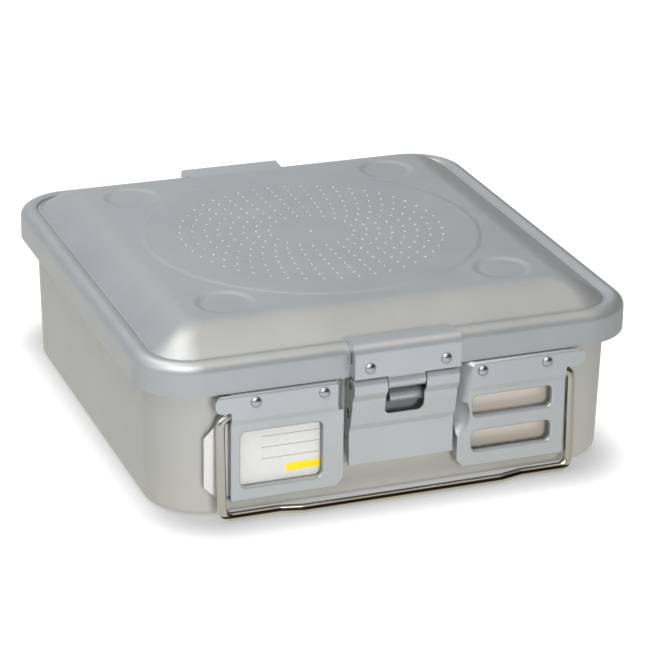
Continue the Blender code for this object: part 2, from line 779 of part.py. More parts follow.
def retainer_knob():
    bore = STUD_DIAMETER / 2 + CLEARANCE
    collar, rim = KNOB_COLLAR_DIAMETER / 2, KNOB_DIAMETER / 2
    shoulder, bottom = KNOB_TOP - KNOB_COLLAR_HEIGHT, KNOB_TOP - KNOB_HEIGHT
    rounding = KNOB_ROUNDING
    profile = [
        (bore, KNOB_TOP), (collar, KNOB_TOP), (collar, shoulder), (rim - rounding, shoulder),
        (rim, shoulder - rounding), (rim, bottom + rounding), (rim - rounding, bottom), (bore, bottom),
    ]
    return turned(profile, ROUND_SIDES, closed=True)


# The fittings of one side, modelled at the front

def rivet(grip, matrix):
    """Domed rivet: the underside of its head is at height 0, its tail GRIP below."""
    head, shank, tail = RIVET_HEAD_DIAMETER / 2, RIVET_DIAMETER / 2, RIVET_TAIL_DIAMETER / 2
    angles = [pi / 2 * step / ARC_STEPS for step in range(ARC_STEPS + 1)]
    profile = [(head * sin(a), RIVET_HEAD_HEIGHT * cos(a)) for a in angles]
    profile += [(shank, 0), (shank, -grip), (tail, -grip), (tail, -grip - RIVET_TAIL_HEIGHT)]
    profile += [(0, -grip - RIVET_TAIL_HEIGHT)]
    return turned(profile, SMALL_SIDES, matrix)


def bracket():
    face, bottom, bend = BRACKET_FACE, BRACKET_BOTTOM, BRACKET_BEND
    top_front = RIM_TOP + BRACKET_RISE
    inner_edge = -LID_HALF_Y + BRACKET_REACH
    top_inner = RIM_TOP + BRACKET_PLATE_GAP + BRACKET_SHEET
    rim_y, rim_z = -LID_HALF_Y + RIM_RADIUS, RIM_TOP - RIM_RADIUS
    follow = RIM_RADIUS + CLEARANCE
    sheet = [Vector((face, bottom))]
    sheet += rounded_corner((face, bottom), (face, top_front), (inner_edge, top_inner), bend, ARC_STEPS)
    sheet += [Vector((inner_edge, top_inner))]
    cheek = [Vector((inner_edge, RIM_TOP + CLEARANCE))]
    cheek += arc(rim_y, rim_z, follow, pi / 2, pi, ARC_STEPS)
    cheek += [Vector((rim_y - follow, bottom))]
    hood = prism(sheet + cheek, -BRACKET_HALF_WIDTH, BRACKET_HALF_WIDTH, "X")
    inside = offset_path(sheet, -BRACKET_SHEET)
    inside[0].y -= OVERRUN
    inside[-1] += (inside[-1] - inside[-2]).normalized() * OVERRUN
    inside += [Vector((inside[-1].x, bottom - OVERRUN))]
    half = BRACKET_HALF_WIDTH - BRACKET_SHEET
    cut(hood, prism(inside, -half, half, "X"))
    for side in (-1, 1):
        wedge = [
            (side * (BRACKET_HALF_WIDTH + OVERRUN), inner_edge + OVERRUN),
            (side * (BRACKET_HALF_WIDTH - BRACKET_TAPER), inner_edge + OVERRUN),
            (side * (BRACKET_HALF_WIDTH - BRACKET_TAPER), inner_edge),
            (side * BRACKET_HALF_WIDTH, inner_edge - BRACKET_TAPER_LENGTH),
            (side * (BRACKET_HALF_WIDTH + OVERRUN), inner_edge - BRACKET_TAPER_LENGTH),
        ]
        cut(hood, prism(wedge, RIM_TOP - OVERRUN, top_front + OVERRUN, "Z"))
        hole = round_hole(
            side * BRACKET_RIVET_X, face, BRACKET_RIVET_Z, RIVET_HOLE_DIAMETER, 2 * OVERRUN, "Y",
        )
        cut(hood, hole)
    slot = rounded_box(
        -LID_HALF_Y - BRACKET_SLOT_OUT, SKIRT_BOTTOM + BRACKET_SLOT_RISE,
        BRACKET_SLOT_WIDTH, BRACKET_SLOT_HEIGHT, BRACKET_SLOT_WIDTH / 2,
    )
    return cut(hood, prism(slot, -BRACKET_HALF_WIDTH - OVERRUN, BRACKET_HALF_WIDTH + OVERRUN, "X"))


def hinge_block():
    bottom = SKIRT_BOTTOM + BLOCK_BOTTOM_RISE
    front = BRACKET_FACE + BRACKET_SHEET + CLEARANCE
    rear = -LID_HALF_Y - CLEARANCE
    body = bevelled(
        block((-BLOCK_HALF_WIDTH, front, bottom), (BLOCK_HALF_WIDTH, rear, bottom + BLOCK_HEIGHT)),
        BLOCK_BEVEL,
    )
    rise = pi / 2 - NECK_HALF_WIDTH / BARREL_RADIUS
    eye = arc(HINGE[1], HINGE[2], BARREL_RADIUS, rise, -pi - rise, ROUND_SIDES)
    neck_top = bottom + BLOCK_HEIGHT / 2
    eye += [Vector((eye[-1].x, neck_top)), Vector((eye[0].x, neck_top))]
    join(body, prism(eye, -KNUCKLE_HALF_WIDTH, KNUCKLE_HALF_WIDTH, "X"))
    cut(body, cylinder(HINGE, PIN_BORE / 2, 2 * LATCH_HALF_WIDTH, "X", SMALL_SIDES))
    through = rear - front + 2 * OVERRUN
    for x in (-BRACKET_RIVET_X, BRACKET_RIVET_X):
        middle = (front + rear) / 2
        cut(body, round_hole(x, middle, BRACKET_RIVET_Z, RIVET_HOLE_DIAMETER, through, "Y"))
    return body


def latch_face():
    """The latch's corrugated front, from the barrel's front down to its lower end."""
    front = HINGE[1] - BARREL_RADIUS
    corners = [Vector((front, HINGE[2]))]
    for set_share, drop_share in LATCH_FACE_SHARES:
        place = (front + set_share * LATCH_SET, HINGE[2] - drop_share * LATCH_LENGTH)
        corners.append(Vector(place))
    return rounded_route(corners, LATCH_FACE_BEND, 2)


def latch_plate():
    y, z = HINGE[1], HINGE[2]
    face = latch_face()
    low = face[-1]
    rear = y + CHEEK_DEPTH
    end_rear = Vector((low.x + CHEEK_END_DEPTH, low.y))
    outline = face + [
        end_rear, Vector((rear, low.y + CHEEK_TAPER_HEIGHT)), Vector((rear, z + CHEEK_TOP)),
    ]
    outline += arc(y, z, BARREL_RADIUS, BARREL_LIP_ANGLE, BARREL_FRONT_ANGLE, 2 * ARC_STEPS)
    plate = prism(outline, -LATCH_HALF_WIDTH, LATCH_HALF_WIDTH, "X")

    inside = [place for place in offset_path(face, LATCH_SHEET) if place.y < z - BARREL_RADIUS / 2]
    inside[-1] += (inside[-1] - inside[-2]).normalized() * OVERRUN
    back = rear + OVERRUN
    inside += [Vector((back, inside[-1].y)), Vector((back, z + CHEEK_TOP + OVERRUN))]
    inside += [Vector((y + BARREL_RADIUS + SHEET, z + CHEEK_TOP + OVERRUN))]
    inside += arc(y, z, BARREL_RADIUS, BARREL_REAR_ANGLE, BARREL_HOLLOW_ANGLE, 3 * ARC_STEPS)
    half = LATCH_HALF_WIDTH - LATCH_SHEET
    cut(plate, prism(inside, -half, half, "X"))

    window_half = KNUCKLE_HALF_WIDTH + WINDOW_CLEARANCE
    window_low, window_high = z - WINDOW_DROP, z + BARREL_RADIUS + OVERRUN
    window = rounded_outline([
        (-window_half, window_low, WINDOW_CORNER), (window_half, window_low, WINDOW_CORNER),
        (window_half, window_high, 0), (-window_half, window_high, 0),
    ])
    cut(plate, prism(window, y - BARREL_RADIUS - OVERRUN, rear + OVERRUN, "Y"))
    through = 2 * (LATCH_HALF_WIDTH + OVERRUN)
    cut(plate, cylinder(HINGE, PIN_BORE / 2, through, "X", SMALL_SIDES))
    slot_width = SNAP_PIN_DIAMETER + 2 * CLEARANCE
    slot = rounded_box(
        y + SNAP_PIN_BACK, z - SNAP_PIN_DROP, slot_width, slot_width + SNAP_TRAVEL, slot_width / 2,
    )
    cut(plate, prism(slot, -through / 2, through / 2, "X"))
    spring_hole = (0, y + SPRING_BACK, z - SPRING_DROP)
    cut(plate, cylinder(spring_hole, SPRING_WIRE / 2 + CLEARANCE, through, "X", SMALL_SIDES))
    return plate


def hinge_pin():
    end = LATCH_HALF_WIDTH + CLEARANCE
    shank, head = PIN_DIAMETER / 2, PIN_HEAD_DIAMETER / 2
    tip = end + PIN_HEAD_LENGTH
    profile = [
        (0, tip), (head, tip), (head, end), (shank, end), (shank, -end), (head, -end),
        (head, -tip), (0, -tip),
    ]
    return turned(profile, SMALL_SIDES, Matrix.Translation(HINGE) @ FACING_RIGHT)


def snap_pin(hand):
    outer = LATCH_HALF_WIDTH + PIN_PROUD
    middle = hand * (outer - SNAP_PIN_LENGTH / 2)
    radius, half, chamfer = SNAP_PIN_DIAMETER / 2, SNAP_PIN_LENGTH / 2, SNAP_PIN_CHAMFER
    profile = [
        (0, half), (radius - chamfer, half), (radius, half - chamfer),
        (radius, chamfer - half), (radius - chamfer, -half), (0, -half),
    ]
    place = Matrix.Translation((middle, HINGE[1] + SNAP_PIN_BACK, HINGE[2] - SNAP_PIN_DROP))
    return turned(profile, SMALL_SIDES, place @ FACING_RIGHT)


def latch_spring(hand):
    outer = hand * (LATCH_HALF_WIDTH + PIN_PROUD)
    inner = hand * (LATCH_HALF_WIDTH - SPRING_INSET)
    low = HINGE[2] - SPRING_DROP
    tip = HINGE[2] - SNAP_PIN_DROP - SNAP_PIN_DIAMETER / 2 - SPRING_TIP_GAP
    back, tip_back = HINGE[1] + SPRING_BACK, HINGE[1] + SNAP_PIN_BACK
    route = rounded_route([(outer, back, low), (inner, back, low), (inner, tip_back, tip)], SPRING_BEND, 3)
    return wire(route, SPRING_WIRE, 2)


def catch():
    """Tube with its fixing plate, rolled from one sheet, beside the latch's window."""
    radius = CATCH_DIAMETER / 2
    centre_y = -tub_wall(CATCH_Z) - CLEARANCE - radius
    foot = -tub_wall(CATCH_PLATE_BOTTOM) - CLEARANCE
    outline = arc(centre_y, CATCH_Z, radius, 0, TURN + CATCH_MEETING_ANGLE, ROUND_SIDES)
    outline += [
        Vector((foot - CATCH_SHEET, CATCH_PLATE_BOTTOM)), Vector((foot, CATCH_PLATE_BOTTOM)),
    ]
    start, end = CATCH_OFFSET - CATCH_LENGTH / 2, CATCH_OFFSET + CATCH_LENGTH / 2
    body = prism(outline, start, end, "X")
    bore = cylinder(
        (CATCH_OFFSET, centre_y, CATCH_Z), CATCH_BORE / 2, CATCH_LENGTH + 2 * OVERRUN, "X",
    )
    return cut(body, bore)


def pocket_profile(sheet):
    """Side view of a pocket, moved inwards by the sheet, with its open back past the wall."""
    low, high = POCKET_BOTTOM + sheet, POCKET_TOP - sheet
    face, strip = POCKET_FACE + sheet, STRIP_FACE + sheet
    edge = max(POCKET_EDGE - sheet, 0)
    gap = -OVERRUN if sheet else CLEARANCE
    return rounded_outline([
        (-tub_wall(low) - gap, low, 0), (face, low, edge), (face, FACE_TOP, 0),
        (strip, STRIP_BOTTOM, 0), (strip, high, edge), (-tub_wall(high) - gap, high, 0),
    ])


def pocket_front(sheet, outer):
    """Front view of a pocket up to its outer end, with the chamfered lower corner."""
    low, high = POCKET_BOTTOM + sheet, POCKET_TOP - sheet
    inner, chamfer = POCKET_INNER_X + sheet, POCKET_CHAMFER
    return [(inner, low + chamfer), (inner + chamfer, low), (outer, low), (outer, high), (inner, high)]


def label_windows():
    """The card's window as (left, right, low, high, corner)."""
    left, right = POCKET_INNER_X + LABEL_MARGIN_INNER, POCKET_OUTER_X - LABEL_MARGIN_OUTER
    low, high = POCKET_BOTTOM + LABEL_MARGIN_LOW, FACE_TOP - LABEL_MARGIN_HIGH
    return [(left, right, low, high, LABEL_CORNER)]


def tag_windows():
    """The two windows for tags, with a bar between them."""
    left, right = POCKET_INNER_X + TAG_MARGIN_INNER, POCKET_OUTER_X - TAG_MARGIN_OUTER
    low, high = POCKET_BOTTOM + TAG_MARGIN_LOW, FACE_TOP - TAG_MARGIN_HIGH
    height = (high - low - TAG_BAR) / 2
    corner = height * TAG_CORNER_SHARE
    return [(left, right, high - height, high, corner), (left, right, low, low + height, corner)]


def window_outline(window, margin):
    left, right, low, high, corner = window
    return rounded_box(
        (left + right) / 2, (low + high) / 2, right - left + 2 * margin, high - low + 2 * margin,
        corner + margin,
    )


def pocket(windows):
    """Pressed pocket for a card or tags, on the side of +X. Its outer end and its back are open."""
    front, back = STRIP_FACE - OVERRUN, -tub_wall(POCKET_BOTTOM) + OVERRUN
    far = POCKET_OUTER_X + TAB_LENGTH + OVERRUN
    tab_end, tab_low = POCKET_OUTER_X + TAB_LENGTH, POCKET_TOP - TAB_HEIGHT
    left_edge = pocket_front(0, POCKET_OUTER_X)
    silhouette = rounded_outline([
        (*left_edge[0], 0), (*left_edge[1], 0), (POCKET_OUTER_X, POCKET_BOTTOM, 0),
        (POCKET_OUTER_X, tab_low, 0), (tab_end, tab_low, TAB_CORNER),
        (tab_end, POCKET_TOP, TAB_CORNER), (*left_edge[4], 0),
    ])
    body = prism(pocket_profile(0), POCKET_INNER_X - OVERRUN, far, "X")
    combine(body, prism(silhouette, front, back, "Y"), "INTERSECT")

    scoop = (SCOOP_X, POCKET_FACE - SCOOP_OUT, SCOOP_Z)
    hollow = prism(pocket_profile(POCKET_SHEET), POCKET_INNER_X, far, "X")
    inner_end = POCKET_OUTER_X - POCKET_SHEET
    combine(hollow, prism(pocket_front(POCKET_SHEET, inner_end), front, back + OVERRUN, "Y"), "INTERSECT")
    cut(hollow, ball(scoop, SCOOP_RADIUS + POCKET_SHEET))
    lip_front, lip_back = POCKET_FACE + POCKET_SHEET / 2, POCKET_FACE + LIP_DEPTH
    for window in windows:
        cut(hollow, prism(window_outline(window, POCKET_SHEET), lip_front, lip_back, "Y"))
    cut(body, ball(scoop, SCOOP_RADIUS))
    cut(body, hollow)
    for window in windows:
        cut(body, prism(window_outline(window, 0), front, back, "Y"))

    # The outer end keeps a narrow return below the strip, and the tab is one sheet thick
    cut(body, block(
        (inner_end - POCKET_SHEET, POCKET_FACE + POCKET_RETURN, POCKET_BOTTOM + POCKET_SHEET),
        (far, back, FACE_TOP),
    ))
    cut(body, block(
        (inner_end - POCKET_SHEET, STRIP_INSIDE, FACE_TOP - POCKET_SHEET),
        (far, back, POCKET_TOP - POCKET_SHEET),
    ))
    cut(body, block((POCKET_OUTER_X, STRIP_INSIDE, tab_low - OVERRUN), (far, back, POCKET_TOP + OVERRUN)))
    for x in (POCKET_RIVET_INNER_X, POCKET_RIVET_OUTER_X):
        cut(body, round_hole(x, STRIP_FACE, POCKET_RIVET_Z, RIVET_HOLE_DIAMETER, 2 * OVERRUN, "Y"))
    return body


def bail():
    y, z = BAIL_PIVOT[1], BAIL_PIVOT[2]
    low = BAIL_FOOT_Z
    lean = y - BAIL_LEAN
    half = [
        (BAIL_END_X, y, z), (BAIL_LEG_X, y, z), (BAIL_LEG_X, lean, low),
        (JOGGLE_OUTER_X, lean, low), (JOGGLE_INNER_X, lean - JOGGLE_OUT, low),
    ]
    other = [(-x, place_y, place_z) for x, place_y, place_z in reversed(half)]
    places = half + other
    route = [Vector(places[0])]
    for before, corner, after in zip(places, places[1:], places[2:]):
        bend = BAIL_BEND if abs(corner[0]) == BAIL_LEG_X else JOGGLE_BEND
        steps = WIRE_STEPS if bend == BAIL_BEND else 2
        route += rounded_corner(before, corner, after, bend, steps)
    return wire(route + [Vector(places[-1])], BAIL_WIRE, 2)


def saddle():
    """Block behind a pocket's strip, with the open groove that carries one end of the bail."""
    y, z = BAIL_PIVOT[1], BAIL_PIVOT[2]
    groove = BAIL_WIRE / 2 + CLEARANCE
    ledge = STRIP_INSIDE + STRIP_RISE + CLEARANCE + CLEARANCE
    outline = [
        (-tub_wall(SADDLE_BOTTOM) - CLEARANCE, SADDLE_BOTTOM), (ledge, SADDLE_BOTTOM),
        (ledge, SADDLE_LEDGE), (STRIP_INSIDE + CLEARANCE, SADDLE_LEDGE),
        (STRIP_INSIDE + CLEARANCE, SADDLE_TOP), (-tub_wall(SADDLE_TOP) - CLEARANCE, SADDLE_TOP),
    ]
    body = prism(outline, SADDLE_INNER_X, SADDLE_OUTER_X, "X")
    far = ledge - OVERRUN
    channel = arc(y, z, groove, pi / 2, -pi / 2, 2 * ARC_STEPS)
    channel += [Vector((far, z - groove)), Vector((far, z + groove))]
    cut(body, prism(channel, SADDLE_INNER_X - OVERRUN, SADDLE_OUTER_X + OVERRUN, "X"))
    through = 2 * (POCKET_STANDOFF + STRIP_RISE + OVERRUN)
    hole = round_hole(
        POCKET_RIVET_OUTER_X, -TUB_HALF_Y, POCKET_RIVET_Z, RIVET_HOLE_DIAMETER, through, "Y",
    )
    return cut(body, hole)


def spacer():
    front = STRIP_INSIDE + CLEARANCE
    length = -tub_wall(POCKET_RIVET_Z) - CLEARANCE - front
    bore, rim = RIVET_HOLE_DIAMETER / 2, SPACER_DIAMETER / 2
    profile = [(bore, 0), (rim, 0), (rim, -length), (bore, -length)]
    place = Matrix.Translation((POCKET_RIVET_INNER_X, front, POCKET_RIVET_Z))
    return turned(profile, SMALL_SIDES, place @ FACING_FRONT, closed=True)


def pocket_rivet(x):
    head = STRIP_FACE - CLEARANCE
    grip = -tub_wall(POCKET_RIVET_Z) + SHEET + CLEARANCE - head
    return rivet(grip, Matrix.Translation((x, head, POCKET_RIVET_Z)) @ FACING_FRONT)


def bracket_rivet(x):
    head = BRACKET_FACE - CLEARANCE
    grip = -LID_HALF_Y + SHEET + CLEARANCE - head
    return rivet(grip, Matrix.Translation((x, head, BRACKET_RIVET_Z)) @ FACING_FRONT)


# The tub and its card

def base_tub():
    draws = [(-(RIM_FOLD - SHEET - FOLD_BEND), 0)]
    draws += [(-rise, -inset) for inset, rise in quarter_draws(FOLD_BEND, 2)]
    draws += [(WALL_DRAFT, DRAFT_BOTTOM - DRAFT_TOP)]
    draws += [(inset, -rise) for inset, rise in quarter_draws(FLOOR_BEND, 2)]
    tub = drawn_sheet(
        TUB_HALF_X - RIM_FOLD, TUB_HALF_Y - RIM_FOLD, TUB_CORNER - RIM_FOLD, TUB_HEIGHT - SHEET, draws,
    )
    for x, y in corner_places():
        pressed_dish(tub, x, y, TUB_FLOOR, FOOT_HEIGHT, DISH_RADIUS - STACKING_CLEARANCE)
    for x in (-POCKET_RIVET_OUTER_X, -POCKET_RIVET_INNER_X, POCKET_RIVET_INNER_X, POCKET_RIVET_OUTER_X):
        for y in (-TUB_HALF_Y, TUB_HALF_Y):
            cut(tub, round_hole(x, y, POCKET_RIVET_Z, RIVET_HOLE_DIAMETER, 2 * OVERRUN, "Y"))
    return tub


def card():
    """Card that lies in the left pocket and stands out of its open end."""
    low, high = POCKET_BOTTOM + POCKET_SHEET + CLEARANCE, SADDLE_BOTTOM - CARD_TO_SADDLE
    outline = [
        (-CARD_INNER_X, low), (-CARD_INNER_X, high), (-CARD_OUTER_X + CARD_CORNER, high),
        (-CARD_OUTER_X, high - CARD_CORNER), (-CARD_OUTER_X, low + CARD_CORNER),
        (-CARD_OUTER_X + CARD_CORNER, low),
    ]
    front = -TUB_HALF_Y - CARD_STANDOFF
    return prism(outline, front - CARD_THICKNESS, front, "Y")


def build_lid(frame, aluminium, plate, polished, steel, silicone, paper):
    add_piece("lid_shell", lid_shell(), aluminium, frame)
    add_piece("lid_gasket", gasket(), silicone, frame)
    add_piece("retainer_stud", retainer_stud(), steel, frame)
    add_piece("filter_paper", filter_paper(), paper, frame)
    add_piece("filter_retainer", filter_retainer(), plate, frame)
    add_piece("retainer_knob", retainer_knob(), steel, frame)
    sides = {side: carrier(f"{side}_lid_side", frame, turn=turn) for side, turn in SIDES.items()}
    latches = {side: carrier(f"{side}_latch_axis", sides[side], HINGE) for side in SIDES}
    add_pair("bracket", bracket(), plate, sides)
    add_pair("hinge_block", hinge_block(), plate, sides, origin=HINGE)
    add_pair("hinge_pin", hinge_pin(), polished, sides, origin=HINGE)
    add_pair("latch_plate", latch_plate(), plate, latches, HINGE)
    for label, hand in (("left", -1), ("right", 1)):
        x = hand * BRACKET_RIVET_X
        place = (x, BRACKET_FACE, BRACKET_RIVET_Z)
        add_pair(f"bracket_rivet_{label}", bracket_rivet(x), polished, sides, origin=place)
        add_pair(f"snap_pin_{label}", snap_pin(hand), steel, latches, HINGE)
        add_pair(f"latch_spring_{label}", latch_spring(hand), steel, latches, HINGE)


def build_base(frame, aluminium, plate, polished, paper):
    add_piece("base_tub", base_tub(), aluminium, frame)
    add_piece("label_card", card(), paper, frame)
    sides = {side: carrier(f"{side}_base_side", frame, turn=turn) for side, turn in SIDES.items()}
    pivots = {side: carrier(f"{side}_bail_axis", sides[side], BAIL_PIVOT) for side in SIDES}
    add_pair("catch", catch(), plate, sides)
    add_pair("label_holder", mirrored(pocket(label_windows())), plate, sides)
    add_pair("tag_holder", pocket(tag_windows()), plate, sides)
    add_pair("bail", bail(), polished, pivots, BAIL_PIVOT)
    rivets = {
        "label_rivet_outer": -POCKET_RIVET_OUTER_X, "label_rivet_inner": -POCKET_RIVET_INNER_X,
        "tag_rivet_inner": POCKET_RIVET_INNER_X, "tag_rivet_outer": POCKET_RIVET_OUTER_X,
    }
    for name, x in rivets.items():
        add_pair(name, pocket_rivet(x), polished, sides, origin=(x, STRIP_FACE, POCKET_RIVET_Z))
    add_pair("saddle_right", saddle(), plate, sides)
    add_pair("saddle_left", mirrored(saddle()), plate, sides)
    add_pair("spacer_right", spacer(), plate, sides)
    add_pair("spacer_left", mirrored(spacer()), plate, sides)


empty_scene()
container = new_collection("sterilization_container")
cutters = new_collection("cutters")
aluminium = metal("anodised aluminium sheet", ANODISED)
plate = metal("anodised aluminium fittings", ANODISED_PLATE)
polished = metal("polished steel", POLISHED)
steel = metal("spring steel", SPRING_STEEL)
silicone = metal("silicone", SILICONE)
paper = metal("paper", PAPER)
build_lid(carrier("lid_frame"), aluminium, plate, polished, steel, silicone, paper)
build_base(carrier("base_frame"), aluminium, plate, polished, paper)
bpy.context.view_layer.update()
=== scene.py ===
# %% [markdown]
# # A sterilization container
# The real object is a flat tub and lid, both deep-drawn from aluminium sheet and anodised. Two
# latches hold the lid on, and each side carries a wire bail and two pressed pockets. This lesson
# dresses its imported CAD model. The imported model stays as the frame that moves, and 32 of its 52
# nodes are drawn again with finer curves and rounded edges. Some of these stand up to about two
# millimetres off their CAD form, where a later look at the photograph asked for it.

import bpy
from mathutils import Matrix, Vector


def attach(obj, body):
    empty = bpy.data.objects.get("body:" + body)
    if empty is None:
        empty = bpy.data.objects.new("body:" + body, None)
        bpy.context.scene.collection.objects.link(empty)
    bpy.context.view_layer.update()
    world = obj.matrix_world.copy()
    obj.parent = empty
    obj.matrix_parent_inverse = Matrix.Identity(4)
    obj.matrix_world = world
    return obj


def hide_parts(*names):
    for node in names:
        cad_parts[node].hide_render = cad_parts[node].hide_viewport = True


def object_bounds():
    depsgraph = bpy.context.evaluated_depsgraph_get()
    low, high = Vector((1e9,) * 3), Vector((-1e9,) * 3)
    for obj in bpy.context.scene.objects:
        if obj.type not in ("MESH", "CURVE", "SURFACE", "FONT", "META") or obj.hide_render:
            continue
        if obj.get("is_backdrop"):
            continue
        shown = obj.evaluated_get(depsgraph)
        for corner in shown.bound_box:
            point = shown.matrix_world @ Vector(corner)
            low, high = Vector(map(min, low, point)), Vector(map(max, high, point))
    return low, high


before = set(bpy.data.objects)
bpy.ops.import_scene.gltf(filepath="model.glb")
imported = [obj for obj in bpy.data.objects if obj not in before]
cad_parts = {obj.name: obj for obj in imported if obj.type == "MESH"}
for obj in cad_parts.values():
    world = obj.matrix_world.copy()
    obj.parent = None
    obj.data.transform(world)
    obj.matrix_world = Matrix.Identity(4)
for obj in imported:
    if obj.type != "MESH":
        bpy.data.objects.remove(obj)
cad_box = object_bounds()
print("CAD nodes:", len(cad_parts))

# %% Tools that every cell uses
from math import cos, pi, radians, sin, sqrt, tan

import bmesh
import bpy
from mathutils import Matrix, Vector

TURN = 2 * pi
SHRINK = Matrix.Scale(0.001, 4)        # shapes are drawn in millimetres and end in metres
scene = bpy.context.scene


def feed(tree, made, inputs):
    """Sets a node's inputs. Each is a value, a socket or the node that feeds it."""
    for socket, value in inputs.items():
        if isinstance(value, bpy.types.Node):
            value = next(output for output in value.outputs if output.enabled)
        if isinstance(value, bpy.types.NodeSocket):
            tree.links.new(value, made.inputs[socket])
        else:
            made.inputs[socket].default_value = value
    return made


def node(tree, kind, inputs={}, **settings):
    """Adds a node with its settings and inputs."""
    made = tree.nodes.new(kind)
    for name, value in settings.items():
        setattr(made, name, value)
    return feed(tree, made, inputs)


def maths(tree, operation, *values):
    return node(tree, "ShaderNodeMath", dict(enumerate(values)), operation=operation).outputs[0]


def vectors(tree, operation, *values):
    return node(tree, "ShaderNodeVectorMath", dict(enumerate(values)), operation=operation).outputs[0]


def ranged(tree, value, low, high, start=0.0, end=1.0, kind="LINEAR"):
    """Turns the range from LOW to HIGH into the one from START to END."""
    return node(tree, "ShaderNodeMapRange", {
        "Value": value, "From Min": low, "From Max": high, "To Min": start, "To Max": end,
    }, interpolation_type=kind).outputs[0]


def eased_range(tree, value, low, high):
    return ranged(tree, value, low, high, kind="SMOOTHSTEP")


def mixed(tree, share, first, second):
    return node(tree, "ShaderNodeMix", {0: share, 6: first, 7: second}, data_type="RGBA").outputs[2]


def noise(tree, place, size_mm, detail, roughness=0.5):
    return node(tree, "ShaderNodeTexNoise", {
        "Vector": place, "Scale": 1000 / size_mm, "Detail": detail, "Roughness": roughness,
    }).outputs[0]


def relief(tree, height, depth_mm):
    return node(tree, "ShaderNodeBump", {"Height": height, "Strength": 1.0, "Distance": depth_mm / 1000})


def new_material(name):
    """A material, its tree, its shader and the place on the object."""
    material = bpy.data.materials.new(name)
    material.use_nodes = True
    tree = material.node_tree
    place = node(tree, "ShaderNodeTexCoord").outputs["Object"]
    return material, tree, tree.nodes["Principled BSDF"], place


# %% [markdown]
# ## Colours
# A hex code names a colour as a screen shows it, and a shader works with linear light. One
# function turns the first into the second, so that every material below can be read as hex.

# %% Hex colours to linear light
def ink(code):
    shares = [int(code[place:place + 2], 16) / 255 for place in (1, 3, 5)]
    linear = [s / 12.92 if s <= 0.04045 else ((s + 0.055) / 1.055) ** 2.4 for s in shares]
    return (*linear, 1)


print("Mid grey in linear light:", round(ink("#808080")[0], 3))

# %% [markdown]
# ## Anodised aluminium
# The sheet is etched before it is anodised, which leaves a fine matt grain under a clear oxide
# layer. To the eye it is a satin metal: it mirrors the room only as broad soft patches, and the
# etched grain scatters part of the light like a matt paint. So only a share of the shader's
# answer is metallic, least on the tub. A noise of a few tenths of a millimetre would be too fine
# for this picture, so the grain is drawn at about a millimetre and kept faint. A second, slow
# noise gives the small differences in tone and gloss that handling and washing leave. The tub's
# alloy comes out of the bath a little warmer than the lid's, and the pressed fittings are
# smoother than both. Where the punch has gone through after anodising, the edge is bare.

# %% Satin anodised metals
HANDLING_MM, SCUFF_MM, SCUFF_STRETCH = 45, 28, 14.0
TONE_SWING, GLOSS_SWING = 0.045, 0.035


def satin_metal(name, code, mirror_share, dull, grain_mm, bump_mm):
    material, tree, shader, place = new_material(name)
    grain = noise(tree, place, grain_mm, 3.0, 0.6)
    handling = noise(tree, place, HANDLING_MM, 4.0, 0.55)
    rubbed = node(tree, "ShaderNodeMapping", {"Vector": place, "Scale": (1.0, 1.0, SCUFF_STRETCH)})
    scuffs = noise(tree, rubbed, SCUFF_MM, 5.0, 0.7)
    light = [min(1.0, share * (1 + TONE_SWING)) for share in ink(code)[:3]]
    dark = [share * (1 - TONE_SWING) for share in ink(code)[:3]]
    both = maths(tree, "ADD", handling, scuffs)
    feed(tree, shader, {
        "Base Color": mixed(tree, ranged(tree, handling, 0.3, 0.7), (*dark, 1), (*light, 1)),
        "Roughness": ranged(tree, both, 0.6, 1.4, dull - GLOSS_SWING, dull + GLOSS_SWING),
        "Normal": relief(tree, grain, bump_mm), "Metallic": mirror_share,
    })
    return material


lid_metal = satin_metal("satin_anodised_aluminium_lid", "#A0A3A4", 0.60, 0.38, 1.1, 0.008)
tub_metal = satin_metal("satin_anodised_aluminium_tub", "#ACACA7", 0.45, 0.42, 1.1, 0.010)
fitting_metal = satin_metal("satin_anodised_aluminium_fittings", "#A9ADAF", 0.60, 0.32, 1.0, 0.006)
bare_edge = satin_metal("punched_bare_aluminium", "#C4C7C8", 0.60, 0.45, 0.6, 0.002)
print("Metals:", [m.name for m in (lid_metal, tub_metal, fitting_metal, bare_edge)])

# %% [markdown]
# ## The paler wall behind the tag windows
# In the photograph the wall behind the tag windows is paler and warmer than the rest, from light
# that this studio doesn't give. So the tone is drawn into the tub's finish, front and rear, as a
# soft-edged box. It covers the wall's whole thickness, so it shows on the inner face as well.

# %% Pale patch
PATCH_X, PATCH_HALF_X = 0.067, 0.027
PATCH_Z, PATCH_HALF_Z = 0.037, 0.021
WALL_FROM, WALL_TO = 0.13295, 0.1331


def pale_patch(material):
    tree = material.node_tree
    shader = tree.nodes["Principled BSDF"]
    place = node(tree, "ShaderNodeTexCoord").outputs["Object"]
    x, y, z = node(tree, "ShaderNodeSeparateXYZ", {0: place}).outputs
    turned = maths(tree, "MULTIPLY", x, maths(tree, "SIGN", y))

    def share(value, half):
        return maths(tree, "DIVIDE", maths(tree, "ABSOLUTE", value), half)

    share_x = share(maths(tree, "ADD", turned, PATCH_X), PATCH_HALF_X)
    share_z = share(maths(tree, "SUBTRACT", z, PATCH_Z), PATCH_HALF_Z)
    within = eased_range(tree, maths(tree, "MAXIMUM", share_x, share_z), 1.0, 0.9)
    on_wall = ranged(tree, maths(tree, "ABSOLUTE", y), WALL_FROM, WALL_TO)
    worn = shader.inputs["Base Color"].links[0].from_socket
    patch = maths(tree, "MULTIPLY", within, on_wall)
    feed(tree, shader, {"Base Color": mixed(tree, patch, worn, ink("#CEC6BB"))})


